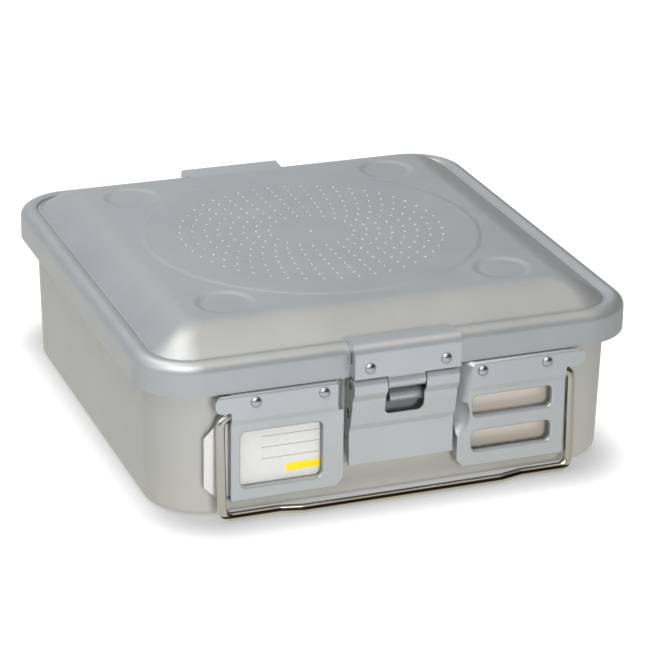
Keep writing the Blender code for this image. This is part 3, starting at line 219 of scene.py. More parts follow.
pale_patch(tub_metal)
print("Pale patch:", round(PATCH_HALF_X * 2000), "by", round(PATCH_HALF_Z * 2000), "mm")

# %% [markdown]
# ## Bright steel
# The bails are bent from polished stainless wire, and the rivets and pins are bright steel too.
# Polishing leaves almost no grain, so these mirror the room sharply. Only faint marks break the
# mirror, and the springs, which are not polished, are duller. The bail's foot bar has a dark band
# along it, the mirror image of a dark room in front. This studio is bright there, so the band is
# drawn into the wire's finish. It belongs to the wire and turns with it.

# %% Polished and plain steel
MARK_DEPTH_MM = 0.004
BAND_Z, BAND_INNER, BAND_OUTER = 0.0044, 0.0006, 0.0010
BAR_FROM, BAR_TO = 0.1448, 0.1456


def bright_steel(name, code, dull, marks_mm):
    material, tree, shader, place = new_material(name)
    marks = noise(tree, place, marks_mm, 4.0, 0.7)
    feed(tree, shader, {
        "Base Color": ink(code), "Metallic": 1.0, "Normal": relief(tree, marks, MARK_DEPTH_MM),
        "Roughness": ranged(tree, marks, 0.3, 0.7, dull * 0.7, dull * 1.3),
    })
    return material


def dark_band(material):
    tree = material.node_tree
    shader = tree.nodes["Principled BSDF"]
    place = node(tree, "ShaderNodeTexCoord").outputs["Object"]
    _, y, z = node(tree, "ShaderNodeSeparateXYZ", {0: place}).outputs
    in_front = eased_range(tree, maths(tree, "ABSOLUTE", y), BAR_FROM, BAR_TO)
    off_centre = maths(tree, "ABSOLUTE", maths(tree, "SUBTRACT", z, BAND_Z))
    shade = maths(tree, "MULTIPLY", in_front, eased_range(tree, off_centre, BAND_OUTER, BAND_INNER))
    clear = shader.inputs["Base Color"].default_value[:]
    feed(tree, shader, {"Base Color": mixed(tree, shade, clear, ink("#3A342A"))})


wire_steel = bright_steel("polished_stainless_wire", "#ABA99F", 0.08, 1.6)
dark_band(wire_steel)
rivet_steel = bright_steel("polished_steel_rivets", "#A8AAAC", 0.18, 0.8)
spring_steel = bright_steel("drawn_spring_steel", "#BDBBB5", 0.24, 0.7)
print("Steels:", [m.name for m in (wire_steel, rivet_steel, spring_steel)])

# %% [markdown]
# ## Silicone, filter paper and the printed card
# The gasket is moulded silicone, matt and slightly soft. The filter is bonded paper with short
# fibres. The card is coated board, printed with three ruled lines and a plain yellow bar. The
# print is worked out from the card's own place in millimetres, so it needs no picture.

# %% Silicone and paper
def matt_stuff(name, dark_code, light_code, dull, fibre_mm, stretch, bump_mm):
    material, tree, shader, place = new_material(name)
    laid = node(tree, "ShaderNodeMapping", {"Vector": place, "Scale": (1.0, stretch, 1.0)})
    fibres = noise(tree, laid, fibre_mm, 6.0, 0.7)
    feed(tree, shader, {
        "Base Color": mixed(tree, fibres, ink(dark_code), ink(light_code)),
        "Normal": relief(tree, fibres, bump_mm), "Roughness": dull,
    })
    return material


silicone = matt_stuff("moulded_silicone", "#8B8F92", "#9A9EA1", 0.55, 1.5, 1.0, 0.01)
filter_stuff = matt_stuff("bonded_filter_paper", "#DFDFDB", "#F6F6F2", 0.9, 2.2, 0.35, 0.03)
print("Soft stuffs:", silicone.name, filter_stuff.name)

# %% Printed card
CARD_LINES = (44.6, 38.2, 31.6)                # heights of the three ruled lines
LINE_FROM, LINE_TO, LINE_HALF = -78.0, -45.4, 0.16
BAR_X, BAR_Z = (-64.0, -44.8), (22.4, 27.0)


def printed_card():
    material, tree, shader, place = new_material("printed_card")
    in_mm = vectors(tree, "MULTIPLY", place, (1000, 1000, 1000))
    x, _, z = node(tree, "ShaderNodeSeparateXYZ", {0: in_mm}).outputs

    def within(socket, low, high):
        return maths(tree, "COMPARE", socket, (low + high) / 2, (high - low) / 2)

    lines = 0.0
    for height in CARD_LINES:
        lines = maths(tree, "ADD", lines, within(z, height - LINE_HALF, height + LINE_HALF))
    lines = maths(tree, "MULTIPLY", lines, within(x, LINE_FROM, LINE_TO))
    bar = maths(tree, "MULTIPLY", within(x, *BAR_X), within(z, *BAR_Z))
    board = noise(tree, place, 3, 4.0)
    stock = mixed(tree, board, ink("#C0C0BF"), ink("#CCCCCB"))
    ruled = mixed(tree, lines, stock, ink("#6E7276"))
    feed(tree, shader, {
        "Base Color": mixed(tree, bar, ruled, ink("#F2CE1B")),
        "Normal": relief(tree, board, 0.01), "Roughness": 0.45,
    })
    return material


card_stuff = printed_card()
print("Card:", card_stuff.name, "with", len(CARD_LINES), "ruled lines")

# %% [markdown]
# ## Outlines, solids and cuts
# Sheet metal is flat outlines, bends and punched openings. A few helpers draw an outline with
# rounded corners, stand it up as a solid, turn a profile round an axis, and cut one solid with
# another. The corners here get more steps than the CAD model's, so no facet shows.

# %% Outlines and routes
STEPS = 8


def rounded_corner(before, corner, after, radius, steps):
    before, corner, after = Vector(before), Vector(corner), Vector(after)
    if radius == 0:
        return [corner]
    towards, onwards = before - corner, after - corner
    opening = towards.angle(onwards)
    if pi - opening < 0.001:
        return [corner]
    tangent = min(radius / tan(opening / 2), towards.length / 2, onwards.length / 2)
    radius = tangent * tan(opening / 2)
    towards.normalize()
    onwards.normalize()
    centre = corner + (towards + onwards).normalized() * (radius / sin(opening / 2))
    start, end = corner + towards * tangent - centre, corner + onwards * tangent - centre
    sweep = pi - opening
    shares = [step / steps for step in range(steps + 1)]
    return [centre + (start * sin((1 - s) * sweep) + end * sin(s * sweep)) / sin(sweep)
            for s in shares]


def route(corners, steps=STEPS):
    """Open path through corners. The last number of each corner is its bend radius."""
    points = [Vector(corners[0][:-1])]
    for before, corner, after in zip(corners, corners[1:], corners[2:]):
        points += rounded_corner(before[:-1], corner[:-1], after[:-1], corner[-1], steps)
    return points + [Vector(corners[-1][:-1])]


def outline(corners, steps=STEPS):
    """Closed outline through corners given as (u, v, radius)."""
    points = []
    for index, (u, v, radius) in enumerate(corners):
        before, after = corners[index - 1][:2], corners[(index + 1) % len(corners)][:2]
        points += rounded_corner(before, (u, v), after, radius, steps)
    kept = []
    for point in points:
        if not kept or (point - kept[-1]).length > 0.001:
            kept.append(point)
    return kept


def rounded_box(u, v, width, height, radius, steps=STEPS):
    ends = [(-1, -1), (1, -1), (1, 1), (-1, 1)]
    return outline([(u + a * width / 2, v + b * height / 2, radius) for a, b in ends], steps)


def arc(u, v, radius, start, end, steps):
    angles = [start + (end - start) * step / steps for step in range(steps + 1)]
    return [Vector((u + radius * cos(a), v + radius * sin(a))) for a in angles]


def beside(points, distance):
    """The path moved to its left by a distance, with mitred corners."""
    runs = [(b - a).normalized() for a, b in zip(points, points[1:])]
    moved = []
    for index, point in enumerate(points):
        first, last = runs[max(index - 1, 0)], runs[min(index, len(runs) - 1)]
        side = Vector((-first.y - last.y, first.x + last.x)).normalized()
        moved.append(point + side * (distance / side.dot(Vector((-first.y, first.x)))))
    return moved


print("A quarter bend has", len(rounded_corner((0, 1), (0, 0), (1, 0), 0.5, STEPS)), "points")

# %% Solids from outlines
def placed(bm, matrix=Matrix.Identity(4)):
    mesh = bpy.data.meshes.new("shape")
    bm.to_mesh(mesh)
    bm.free()
    mesh.transform(matrix)
    shape = bpy.data.objects.new("shape", mesh)
    scene.collection.objects.link(shape)
    return shape


def shape_of(bm, matrix=Matrix.Identity(4)):
    bmesh.ops.recalc_face_normals(bm, faces=bm.faces)
    return placed(bm, matrix)


def circle(radius, level, count, x=0, y=0):
    angles = [TURN * step / count for step in range(count)]
    return [(x + radius * cos(a), y + radius * sin(a), level) for a in angles]


def join_rows(bm, rows):
    for low, high in zip(rows, rows[1:]):
        for index in range(len(low)):
            bm.faces.new((low[index - 1], low[index], high[index], high[index - 1]))


def skin(rows):
    """Solid whose skin runs through rows of points; all rows have the same count."""
    bm = bmesh.new()
    made = [[bm.verts.new(point) for point in row] for row in rows]
    join_rows(bm, made)
    bm.faces.new(made[0])
    bm.faces.new(made[-1])
    return shape_of(bm)


def stood(points, axis, level):
    places = {
        "X": lambda u, v: (level, u, v), "Y": lambda u, v: (u, level, v), "Z": lambda u, v: (u, v, level),
    }
    return [places[axis](u, v) for u, v in points]


def slab(points, axis, start, end):
    return skin([stood(points, axis, start), stood(points, axis, end)])


def lathed(profile, sides, matrix=Matrix.Identity(4), loop=False):
    """Turned solid. The profile (radius, height) starts and ends on the axis, unless it is a loop."""
    bm = bmesh.new()
    rows = []
    for radius, height in profile:
        if radius == 0:
            rows.append([bm.verts.new((0, 0, height))] * sides)
        else:
            rows.append([bm.verts.new(point) for point in circle(radius, height, sides)])
    for low, high in zip(rows, rows[1:] + (rows[:1] if loop else [])):
        for index in range(sides):
            corners = [low[index - 1], low[index], high[index], high[index - 1]]
            bm.faces.new(list(dict.fromkeys(corners)))
    return shape_of(bm, matrix)


def bore(radius, y, z, sides=24):
    """Cutter for a round hole along X, the hinge's direction."""
    return lathed([(0, -40), (radius, -40), (radius, 40), (0, 40)], sides,
                  Matrix.Translation((0, y, z)) @ Matrix.Rotation(pi / 2, 4, "Y"))


def bake(shape):
    graph = bpy.context.evaluated_depsgraph_get()
    graph.update()
    mesh = bpy.data.meshes.new_from_object(shape.evaluated_get(graph))
    shape.modifiers.clear()
    shape.data = mesh
    return shape


def combine(shape, tools, operation):
    for tool in tools:
        change = shape.modifiers.new("change", "BOOLEAN")
        change.operation, change.solver, change.object = operation, "EXACT", tool
        bake(shape)
        bpy.data.objects.remove(tool, do_unlink=True)
    return shape


def softened(shape, width, segments=2, angle=40):
    """Breaks the edges, as tumbling and etching do to stamped sheet."""
    edges = shape.modifiers.new("edges", "BEVEL")
    edges.width, edges.segments = width, segments
    edges.limit_method, edges.angle_limit = "ANGLE", radians(angle)
    edges.use_clamp_overlap = True
    return bake(shape)


print("Solids, cuts and broken edges are ready")

# %% [markdown]
# ## Handing a piece over
# Each finished piece rides on a CAD body and stands for CAD nodes.
# Front and rear fittings are the same, so one shape serves both, turned half a turn.

# %% Finish and hand over
def settle(shape, name, material=None, smooth=38):
    """Shrinks a shape to metres, shades it and gives it its name and, if named, its material."""
    mesh = shape.data
    mesh.transform(SHRINK)
    if material:
        mesh.materials.clear()
        mesh.materials.append(material)
        mesh.polygons.foreach_set("material_index", [0] * len(mesh.polygons))
    mesh.shade_smooth()
    mesh.set_sharp_from_angle(angle=radians(smooth))
    even = shape.modifiers.new("even", "WEIGHTED_NORMAL")
    even.keep_sharp = True
    even.weight = 60
    bake(shape)
    shape.name = name
    shape.data.name = name
    return shape


def hand_over(shape, body, nodes):
    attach(shape, body)
    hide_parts(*nodes)
    print(f"{shape.name}: {len(shape.data.polygons)} faces, rides on {body}")
    return shape


def pair(shape, name, material, bodies, smooth=38):
    """The same fitting at the front and, turned, at the rear."""
    rear = bpy.data.objects.new("shape", shape.data.copy())
    scene.collection.objects.link(rear)
    rear.data.transform(Matrix.Rotation(pi, 4, "Z"))
    for side, piece, body in (("front", shape, bodies[0]), ("rear", rear, bodies[1])):
        settle(piece, f"{side}_{name}_dressed", material, smooth)
        hand_over(piece, body, [f"{side}_{name}"])


# %% [markdown]
# ## The drawn lid
# A press draws the lid from one sheet: an upright skirt, a rounded rim, a narrow groove, a slope
# that rises to a plateau in a wide soft bend, a faintly raised circle, and four shallow dishes
# in which another container's feet stand. A lathe can't make it, because it is square. Rings of
# a round-cornered rectangle follow the press profile instead, the flat parts between them are
# filled, and Solidify gives the sheet its thickness.

# %% Press a square sheet
SHEET = 1.5
CORNER = 16                              # steps round each corner
SIDES = 96                               # round a recess or a pad; the large field has twice as many
LARGE = 50                               # radius from which a round form counts as large
DRAWN_IN = 12                            # inset from which the corners settle at their least radius


def square_ring(half_x, half_y, radius, level):
    points = rounded_box(0, 0, 2 * half_x, 2 * half_y, radius, CORNER)
    return [(x, y, level) for x, y in points]


def pressed(half_x, half_y, corner, least, profile, rounds):
    """Sheet pressed along PROFILE (inset, level), with round forms in its flat part.

    Each round form is (x, y, [(radius, level)...]). The corner radius shrinks with the inset,
    and settles softly at the LEAST one.
    """
    bm = bmesh.new()
    rows = []
    for inset, level in profile:
        radius = corner - inset
        if inset > DRAWN_IN:
            spare = radius - least
            radius = least + (spare + sqrt(spare * spare + 36)) / 2
        ring = square_ring(half_x - inset, half_y - inset, radius, level)
        rows.append([bm.verts.new(point) for point in ring])
    join_rows(bm, rows)
    rims = [rows[-1]]
    for x, y, form in rounds:
        count = 2 * SIDES if form[0][0] > LARGE else SIDES
        rings = [[bm.verts.new(point) for point in circle(radius, level, count, x, y)]
                 for radius, level in form]
        join_rows(bm, rings)
        bm.faces.new(rings[-1])
        rims.append(rings[0])
    edges = []
    for rim in rims:
        for index in range(len(rim)):
            edge = bm.edges.get((rim[index - 1], rim[index]))
            edges.append(edge or bm.edges.new((rim[index - 1], rim[index])))
    bmesh.ops.triangle_fill(bm, edges=edges, use_beauty=True, use_dissolve=False)
    bmesh.ops.recalc_face_normals(bm, faces=bm.faces)
    top = max(bm.faces, key=lambda face: face.calc_area())
    if top.normal.z < 0:
        bmesh.ops.reverse_faces(bm, faces=bm.faces)
    sheet = placed(bm)
    wall = sheet.modifiers.new("wall", "SOLIDIFY")
    wall.thickness, wall.offset, wall.use_even_offset = SHEET, -1, True
    return bake(sheet)


def eased(radius, width, top, change):
    """Levels of a soft step at a round form's edge, from the outside in."""
    shares = [0, 0.12, 0.3, 0.5, 0.7, 0.88, 1]
    return [(radius + width / 2 - width * s, top + change * s * s * (3 - 2 * s)) for s in shares]


RIM_TOP, PLATEAU = 92.0, 102.0
corner_spots = [(x, y) for x in (-81, 81) for y in (-87, 87)]


def pillow(start, lean, rest, end, steps):
    """Curve that leaves START towards LEAN and lies down flat from REST to END."""
    shares = [step / steps for step in range(steps + 1)]
    ends = [Vector(place) for place in (start, lean, rest, end)]
    weights = [((1 - s) ** 3, 3 * s * (1 - s) ** 2, 3 * s * s * (1 - s), s ** 3) for s in shares]
    return [sum((place * w for place, w in zip(ends, each)), Vector((0, 0))) for each in weights]


RIM_WIDE, RIM_TALL = 6.6, 5.6            # half axes of the rolled rim
SKIRT_LOW = 74.0
lid_profile = [Vector((0, SKIRT_LOW))]
for step in range(11):
    a = pi / 2 * step / 10
    lid_profile.append(Vector((RIM_WIDE * (1 - cos(a)), RIM_TOP - RIM_TALL * (1 - sin(a)))))
lid_profile += route([
    (RIM_WIDE, RIM_TOP, 0), (9.2, 91.4, 0.8), (10.4, 90.3, 0.8), (11.5, 90.3, 0.8), (12.6, 91.2, 0),
], 5)[1:]
lid_profile += pillow((12.6, 91.2), (21.0, 97.2), (29.5, PLATEAU), (37.4, PLATEAU), 22)[1:]
RECESS_RADIUS, RECESS_DROP = 14.9, 0.8
FIELD_RADIUS, FIELD_RISE = 96.8, 0.4
LID_HALF, LID_CORNER, LID_LEAST = (141.6, 143.0), 32.5, 8.0
rounds = [(x, y, eased(RECESS_RADIUS, 5.0, PLATEAU, -RECESS_DROP)) for x, y in corner_spots]
rounds.append((0, 0, eased(FIELD_RADIUS, 3.4, PLATEAU, FIELD_RISE)))
lid = pressed(*LID_HALF, LID_CORNER, LID_LEAST, lid_profile, rounds)
print("Lid before it is pierced:", len(lid.data.polygons), "faces")

# %% [markdown]
# ## Piercing the lid
# 272 small holes let steam through to the filter. They stand in eight rings, and each ring has
# four holes more than the one inside it, which gives the drifting spirals that catch the eye.
# A rule like this is what Geometry Nodes are for: the tree numbers the holes, works out each
# one's ring from its number, and cuts them all at once. The holes are opened from above with a
# tapered tool, so their bare walls face the light and show as bright dots. The walls keep a
# mark through the cut, and the tree gives them their own material by it at the end. The same
# tree pierces the retainer.

# %% The perforation tree
def new_tree(name, sockets):
    tree = bpy.data.node_groups.new(name, "GeometryNodeTree")
    tree.interface.new_socket("Geometry", in_out="INPUT", socket_type="NodeSocketGeometry")
    for label, kind, value in sockets:
        socket = tree.interface.new_socket(label, in_out="INPUT", socket_type=kind)
        if value is not None:
            socket.default_value = value
    tree.interface.new_socket("Geometry", in_out="OUTPUT", socket_type="NodeSocketGeometry")
    return tree, node(tree, "NodeGroupInput")


def run_tree(shape, tree, values):
    """Runs a tree on a shape with the given inputs and keeps the plain mesh."""
    change = shape.modifiers.new(tree.name, "NODES")
    change.node_group = tree
    for item in tree.interface.items_tree:
        if item.item_type == "SOCKET" and item.in_out == "INPUT" and item.name in values:
            change[item.identifier] = values[item.name]
    return bake(shape)


piercing, given = new_tree("ring_perforation", [
    ("Rings", "NodeSocketInt", 8), ("First Radius", "NodeSocketFloat", 24.5),
    ("Ring Pitch", "NodeSocketFloat", 7.2857), ("First Count", "NodeSocketFloat", 20.0),
    ("Added per Ring", "NodeSocketFloat", 4.0), ("Hole Diameter", "NodeSocketFloat", 1.3),
    ("Taper", "NodeSocketFloat", 0.78), ("Level", "NodeSocketFloat", 102.9),
    ("Depth", "NodeSocketFloat", 2.4), ("Sides", "NodeSocketInt", 16),
    ("Material", "NodeSocketMaterial", None), ("Wall Material", "NodeSocketMaterial", None),
])
take = given.outputs


def sum_of(kind, *values):
    return maths(piercing, kind, *values)


half_added = sum_of("MULTIPLY", take["Added per Ring"], 0.5)
lead = sum_of("SUBTRACT", take["First Count"], half_added)
rings_less = sum_of("SUBTRACT", take["Rings"], 1.0)
total = sum_of("MULTIPLY", take["Rings"], sum_of("MULTIPLY_ADD", rings_less, half_added, take["First Count"]))
number = node(piercing, "GeometryNodeInputIndex")
inside_root = sum_of("MULTIPLY_ADD", sum_of("MULTIPLY", take["Added per Ring"], number), 2.0,
                     sum_of("MULTIPLY_ADD", lead, lead, 0.01))
ring = sum_of("FLOOR", sum_of("DIVIDE", sum_of("SUBTRACT", sum_of("SQRT", inside_root), lead),
                              take["Added per Ring"]))
before_it = sum_of("MULTIPLY", ring, sum_of("MULTIPLY_ADD", sum_of("SUBTRACT", ring, 1.0), half_added,
                                            take["First Count"]))
in_ring = sum_of("MULTIPLY_ADD", ring, take["Added per Ring"], take["First Count"])
angle = sum_of("MULTIPLY", sum_of("DIVIDE", sum_of("SUBTRACT", number, before_it), in_ring), TURN)
reach = sum_of("MULTIPLY_ADD", ring, take["Ring Pitch"], take["First Radius"])
spot = node(piercing, "ShaderNodeCombineXYZ", {
    0: sum_of("MULTIPLY", reach, sum_of("COSINE", angle)),
    1: sum_of("MULTIPLY", reach, sum_of("SINE", angle)), 2: take["Level"],
})
spots = node(piercing, "GeometryNodePoints", {"Count": total, "Position": spot})
hole_radius = sum_of("MULTIPLY", take["Hole Diameter"], 0.5)
punch = node(piercing, "GeometryNodeMeshCone", {
    "Vertices": take["Sides"], "Radius Bottom": hole_radius,
    "Radius Top": sum_of("ADD", take["Taper"], hole_radius), "Depth": take["Depth"],
})
marked = node(piercing, "GeometryNodeStoreNamedAttribute", {
    "Geometry": punch.outputs["Mesh"], "Name": "punched", "Value": True,
}, data_type="BOOLEAN", domain="FACE")
lowered = node(piercing, "ShaderNodeCombineXYZ", {2: sum_of("MULTIPLY", take["Depth"], -1.0)})
hung = node(piercing, "GeometryNodeTransform", {"Geometry": marked, "Translation": lowered})
punches = node(piercing, "GeometryNodeInstanceOnPoints", {"Points": spots, "Instance": hung})
pierced = node(piercing, "GeometryNodeMeshBoolean", {
    0: take["Geometry"], 1: node(piercing, "GeometryNodeRealizeInstances", {"Geometry": punches}),
}, operation="DIFFERENCE", solver="EXACT")
plain = node(piercing, "GeometryNodeRealizeInstances", {"Geometry": pierced.outputs["Mesh"]})
coated = node(piercing, "GeometryNodeSetMaterial", {"Geometry": plain, "Material": take["Material"]})
walls = node(piercing, "GeometryNodeInputNamedAttribute", {"Name": "punched"}, data_type="BOOLEAN")
bared = node(piercing, "GeometryNodeSetMaterial", {
    "Geometry": coated, "Selection": walls, "Material": take["Wall Material"],
})
node(piercing, "NodeGroupOutput", {"Geometry": bared})
print("Perforation tree:", len(piercing.nodes), "nodes")

# %% Pierce the lid
run_tree(lid, piercing, {"Material": lid_metal, "Wall Material": bare_edge})
combine(lid, [lathed([(0, 90), (1.5, 90), (1.5, 110), (0, 110)], 24)], "DIFFERENCE")
settle(lid, "lid_shell_dressed")
hand_over(lid, "lid", ["lid_shell"])

# %% [markdown]
# ## The drawn tub
# The tub is drawn the same way, with the sheet's inner face as the surface that is followed: a
# narrow rim folded inwards, walls that lean in a little so that the part leaves its die, a
# rounded foot, and four pads pressed down in the floor for it to stand on.

# %% Press the tub
FLOOR_IN, TUB_TOP = 1.8, 83.6
TUB_HALF, TUB_CORNER, TUB_LEAST = (134.2, 136.2), 34.8, 4.0
tub_profile = route([
    (4.9, TUB_TOP, 0), (1.5, TUB_TOP, 1.0), (3.35, FLOOR_IN, 2.4), (9.0, FLOOR_IN, 0),
])
pads = [(x, y, eased(14.1, 1.8, FLOOR_IN, SHEET - FLOOR_IN)) for x, y in corner_spots]
tub = pressed(*TUB_HALF, TUB_CORNER, TUB_LEAST, tub_profile, pads)
softened(tub, 0.25)
settle(tub, "base_tub_dressed", tub_metal)
hand_over(tub, "base", ["base_tub"])

# %% [markdown]
# ## Brackets and hinge blocks
# A folded bracket wraps the lid's rim on each side, and behind it a block carries the round eye
# that the latch turns on. Both are outlines stood up along the hinge's direction, hollowed, and
# then given broken edges so that they catch the light as pressed sheet does.

# %% Bracket
HINGE_Y, HINGE_Z, BARREL, PIN_BORE = -145.8, 70.2, 4.0, 1.8
FACE = -150.5
bracket_sheet = route([(FACE, 75.2, 0), (FACE, 94.0, 5.0), (-133.5, 92.8, 0)])
cheek = [Vector((-133.5, 91.5))] + arc(-139.0, 87.7, 3.8, pi / 2, pi, STEPS) + [Vector((-142.8, 75.2))]
bracket = slab(bracket_sheet + cheek, "X", -30.3, 30.3)
hollow = beside(bracket_sheet, -1.2)
hollow[0].y -= 4
hollow[-1] += (hollow[-1] - hollow[-2]).normalized() * 4
hollow.append(Vector((hollow[-1].x, 71.2)))
combine(bracket, [slab(hollow, "X", -29.1, 29.1)], "DIFFERENCE")
tapers = []
for side in (-1, 1):
    corners = [(34.3, -129.5), (28.8, -129.5), (28.8, -133.5), (30.3, -136.5), (34.3, -136.5)]
    tapers.append(slab([(side * x, y) for x, y in corners], "Z", 87, 98))
slot = slab(rounded_box(-145.0, 85.0, 2.4, 8.0, 1.2), "X", -35, 35)
combine(bracket, tapers + [slot], "DIFFERENCE")
softened(bracket, 0.35)
pair(bracket, "bracket", fitting_metal, ("lid", "lid"))

# %% Hinge block
block = slab([(-149.0, 77.0), (-142.8, 77.0), (-142.8, 88.0), (-149.0, 88.0)], "X", -26, 26)
rise = pi / 2 - 2.8 / BARREL
eye = arc(HINGE_Y, HINGE_Z, BARREL, rise, -pi - rise, 40)
eye += [Vector((eye[-1].x, 82.5)), Vector((eye[0].x, 82.5))]
combine(block, [slab(eye, "X", -10.7, 10.7)], "UNION")
combine(block, [bore(PIN_BORE, HINGE_Y, HINGE_Z)], "DIFFERENCE")
softened(block, 0.3)
pair(block, "hinge_block", fitting_metal, ("lid", "lid"))

# %% [markdown]
# ## Latches
# Each latch is one pressed sheet: it rolls round the hinge pin, steps back over two soft
# corrugations to a flat grip, and has two side cheeks. The corrugations stiffen it, and they
# show as light and dark bands. A window shows the hinge's eye and the catch on the tub.

# %% Latch plate
front = HINGE_Y - BARREL
face_corners = [(front, HINGE_Z, 0)]
for back, drop in (
    (0.0, 4.2), (3.0, 9.2), (3.0, 12.7), (4.2, 18.2), (5.4, 23.7), (7.2, 27.6), (7.2, 34.2), (6.8, 47.8),
):
    face_corners.append((front + back, HINGE_Z - drop, 2.6))
face = route(face_corners, 5)
low, rear = face[-1], HINGE_Y + 9.4
edge = face + [Vector((low.x + 1.5, low.y)), Vector((rear, low.y + 7.6)), Vector((rear, HINGE_Z + 2))]
edge += arc(HINGE_Y, HINGE_Z, BARREL, radians(32), radians(169), 20)
latch = slab(edge, "X", -30, 30)
hollow = [place for place in beside(face, 1.0) if place.y < HINGE_Z - BARREL / 2]
hollow[-1] += (hollow[-1] - hollow[-2]).normalized() * 4
hollow += [Vector((rear + 4, hollow[-1].y)), Vector((rear + 4, HINGE_Z + 6))]
hollow += [Vector((HINGE_Y + BARREL + 1.5, HINGE_Z + 6))]
hollow += arc(HINGE_Y, HINGE_Z, BARREL, radians(24), radians(-138), 24)
window = outline([(-11.2, 51.0, 3.5), (11.2, 51.0, 3.5), (11.2, 78.2, 0), (-11.2, 78.2, 0)])
pin_way = bore(PIN_BORE, HINGE_Y, HINGE_Z)
spring_way = bore(1.1, HINGE_Y + 8.3, HINGE_Z - 33.7, 20)
snap_slot = slab(rounded_box(HINGE_Y + 5.6, HINGE_Z - 18.2, 3.4, 6.0, 1.7), "X", -40, 40)
combine(latch, [
    slab(hollow, "X", -29, 29), slab(window, "Y", front - 4, rear + 4),
    pin_way, snap_slot, spring_way,
], "DIFFERENCE")
softened(latch, 0.25)
pair(latch, "latch_plate", fitting_metal, ("front_latch", "rear_latch"))

# %% Catch on the tub
def tub_wall(height):
    return 135.4 - 2.9 * (82.6 - height) / 78.8


CATCH_Z, ROLL = 57.8, 3.4
catch_y = -tub_wall(CATCH_Z) - 0.3 - ROLL
foot = -tub_wall(40.0) - 0.3
rolled = arc(catch_y, CATCH_Z, ROLL, 0, TURN - pi / 4, 40)
rolled += [Vector((foot - 1.0, 40.0)), Vector((foot, 40.0))]
catch = slab(rolled, "X", -6.5, 13.5)
combine(catch, [bore(2.3, catch_y, CATCH_Z, 32)], "DIFFERENCE")
softened(catch, 0.2)
pair(catch, "catch", fitting_metal, ("base", "base"))

# %% [markdown]
# ## Pockets for the card and the tags
# A pocket is a pressed sheet with an open outer end. Its top strip stands a little further out
# and ends in a slant on the inner side, with a pressed corner between the slant and the top.
# Each window's edge is turned inwards in a soft bend that shines at the corners, so the window's
# cutter widens towards the front in a quarter of an ellipse. Only the tag holder has a thumb
# scoop in its inner edge, a ball pressed into the sheet with the sheet's thickness kept.

# %% Pocket
POCKET_FACE, STRIP_FACE = -144.3, -145.5
POCKET_LOW, STRIP_TOP = 11.0, 73.6
POCKET_SHEET = 1.2
LABEL_WINDOWS = [(68.3, 35.1, 46.4, 32.0, 3.4)]
TAG_WINDOWS = [(64.3, 47.2, 47.0, 12.0, 3.2), (64.3, 26.6, 47.0, 12.0, 3.2)]


def side_view(sheet):
    low, high = POCKET_LOW + sheet, STRIP_TOP - sheet
    face, strip = POCKET_FACE + sheet, STRIP_FACE + sheet
    bend = 1.7 - sheet
    gap = -4 if sheet else 0.3
    return outline([
        (-tub_wall(low) - gap, low, 0), (face, low, bend), (face, 56.0, 1.2), (strip, 59.3, 1.2),
        (strip, high, bend), (-tub_wall(high) - gap, high, 0),
    ])


def front_view(sheet, inner, outer):
    low, high, inner = POCKET_LOW + sheet, STRIP_TOP - sheet, inner + sheet
    return outline([
        (inner, low + 5.5, 1.5), (inner + 5.5, low, 1.5), (outer, low, 0), (outer, high, 0),
        (inner, high, 1.5),
    ])


def flared(window, depth, flare, drop):
    """Window cutter that widens in a quarter of an ellipse towards the front face."""
    x, z, width, height, corner = window
    rows = []
    stations = [(flare, -4.0), (flare, 0.0)]
    for step in range(1, 7):
        a = pi / 2 * step / 6
        stations.append((flare * (1 - sin(a)), drop * (1 - cos(a))))
    stations.append((0.0, depth))
    for margin, back in stations:
        grown = rounded_box(x, z, width + 2 * margin, height + 2 * margin, corner + margin)
        rows.append(stood(grown, "Y", POCKET_FACE + back))
    return skin(rows)


def ball(place, radius):
    bm = bmesh.new()
    bmesh.ops.create_uvsphere(bm, u_segments=72, v_segments=40, radius=radius)
    return shape_of(bm, Matrix.Translation(place))


def box(low, high):
    (x0, y0, z0), (x1, y1, z1) = low, high
    return slab([(x0, y0), (x1, y0), (x1, y1), (x0, y1)], "Z", z0, z1)


def strip_chamfer(edge, low):
    """Cutter for the slanted inner end of the strip, 45 degrees from EDGE on its face."""
    near, far = STRIP_FACE - 6, STRIP_FACE + 9
    places = [(edge - 14, near), (edge + 6, near), (edge - 9, far), (edge - 14, far)]
    return slab(places, "Z", low, 90)


def corner_facet(place, normal):
    """Cutter with one flat face through PLACE, for the pressed corner between three faces."""
    cutter = box((-12, -12, 0), (12, 12, 12))
    turn = Vector((0, 0, 1)).rotation_difference(Vector(normal)).to_matrix().to_4x4()
    cutter.data.transform(Matrix.Translation(place) @ turn)
    return cutter


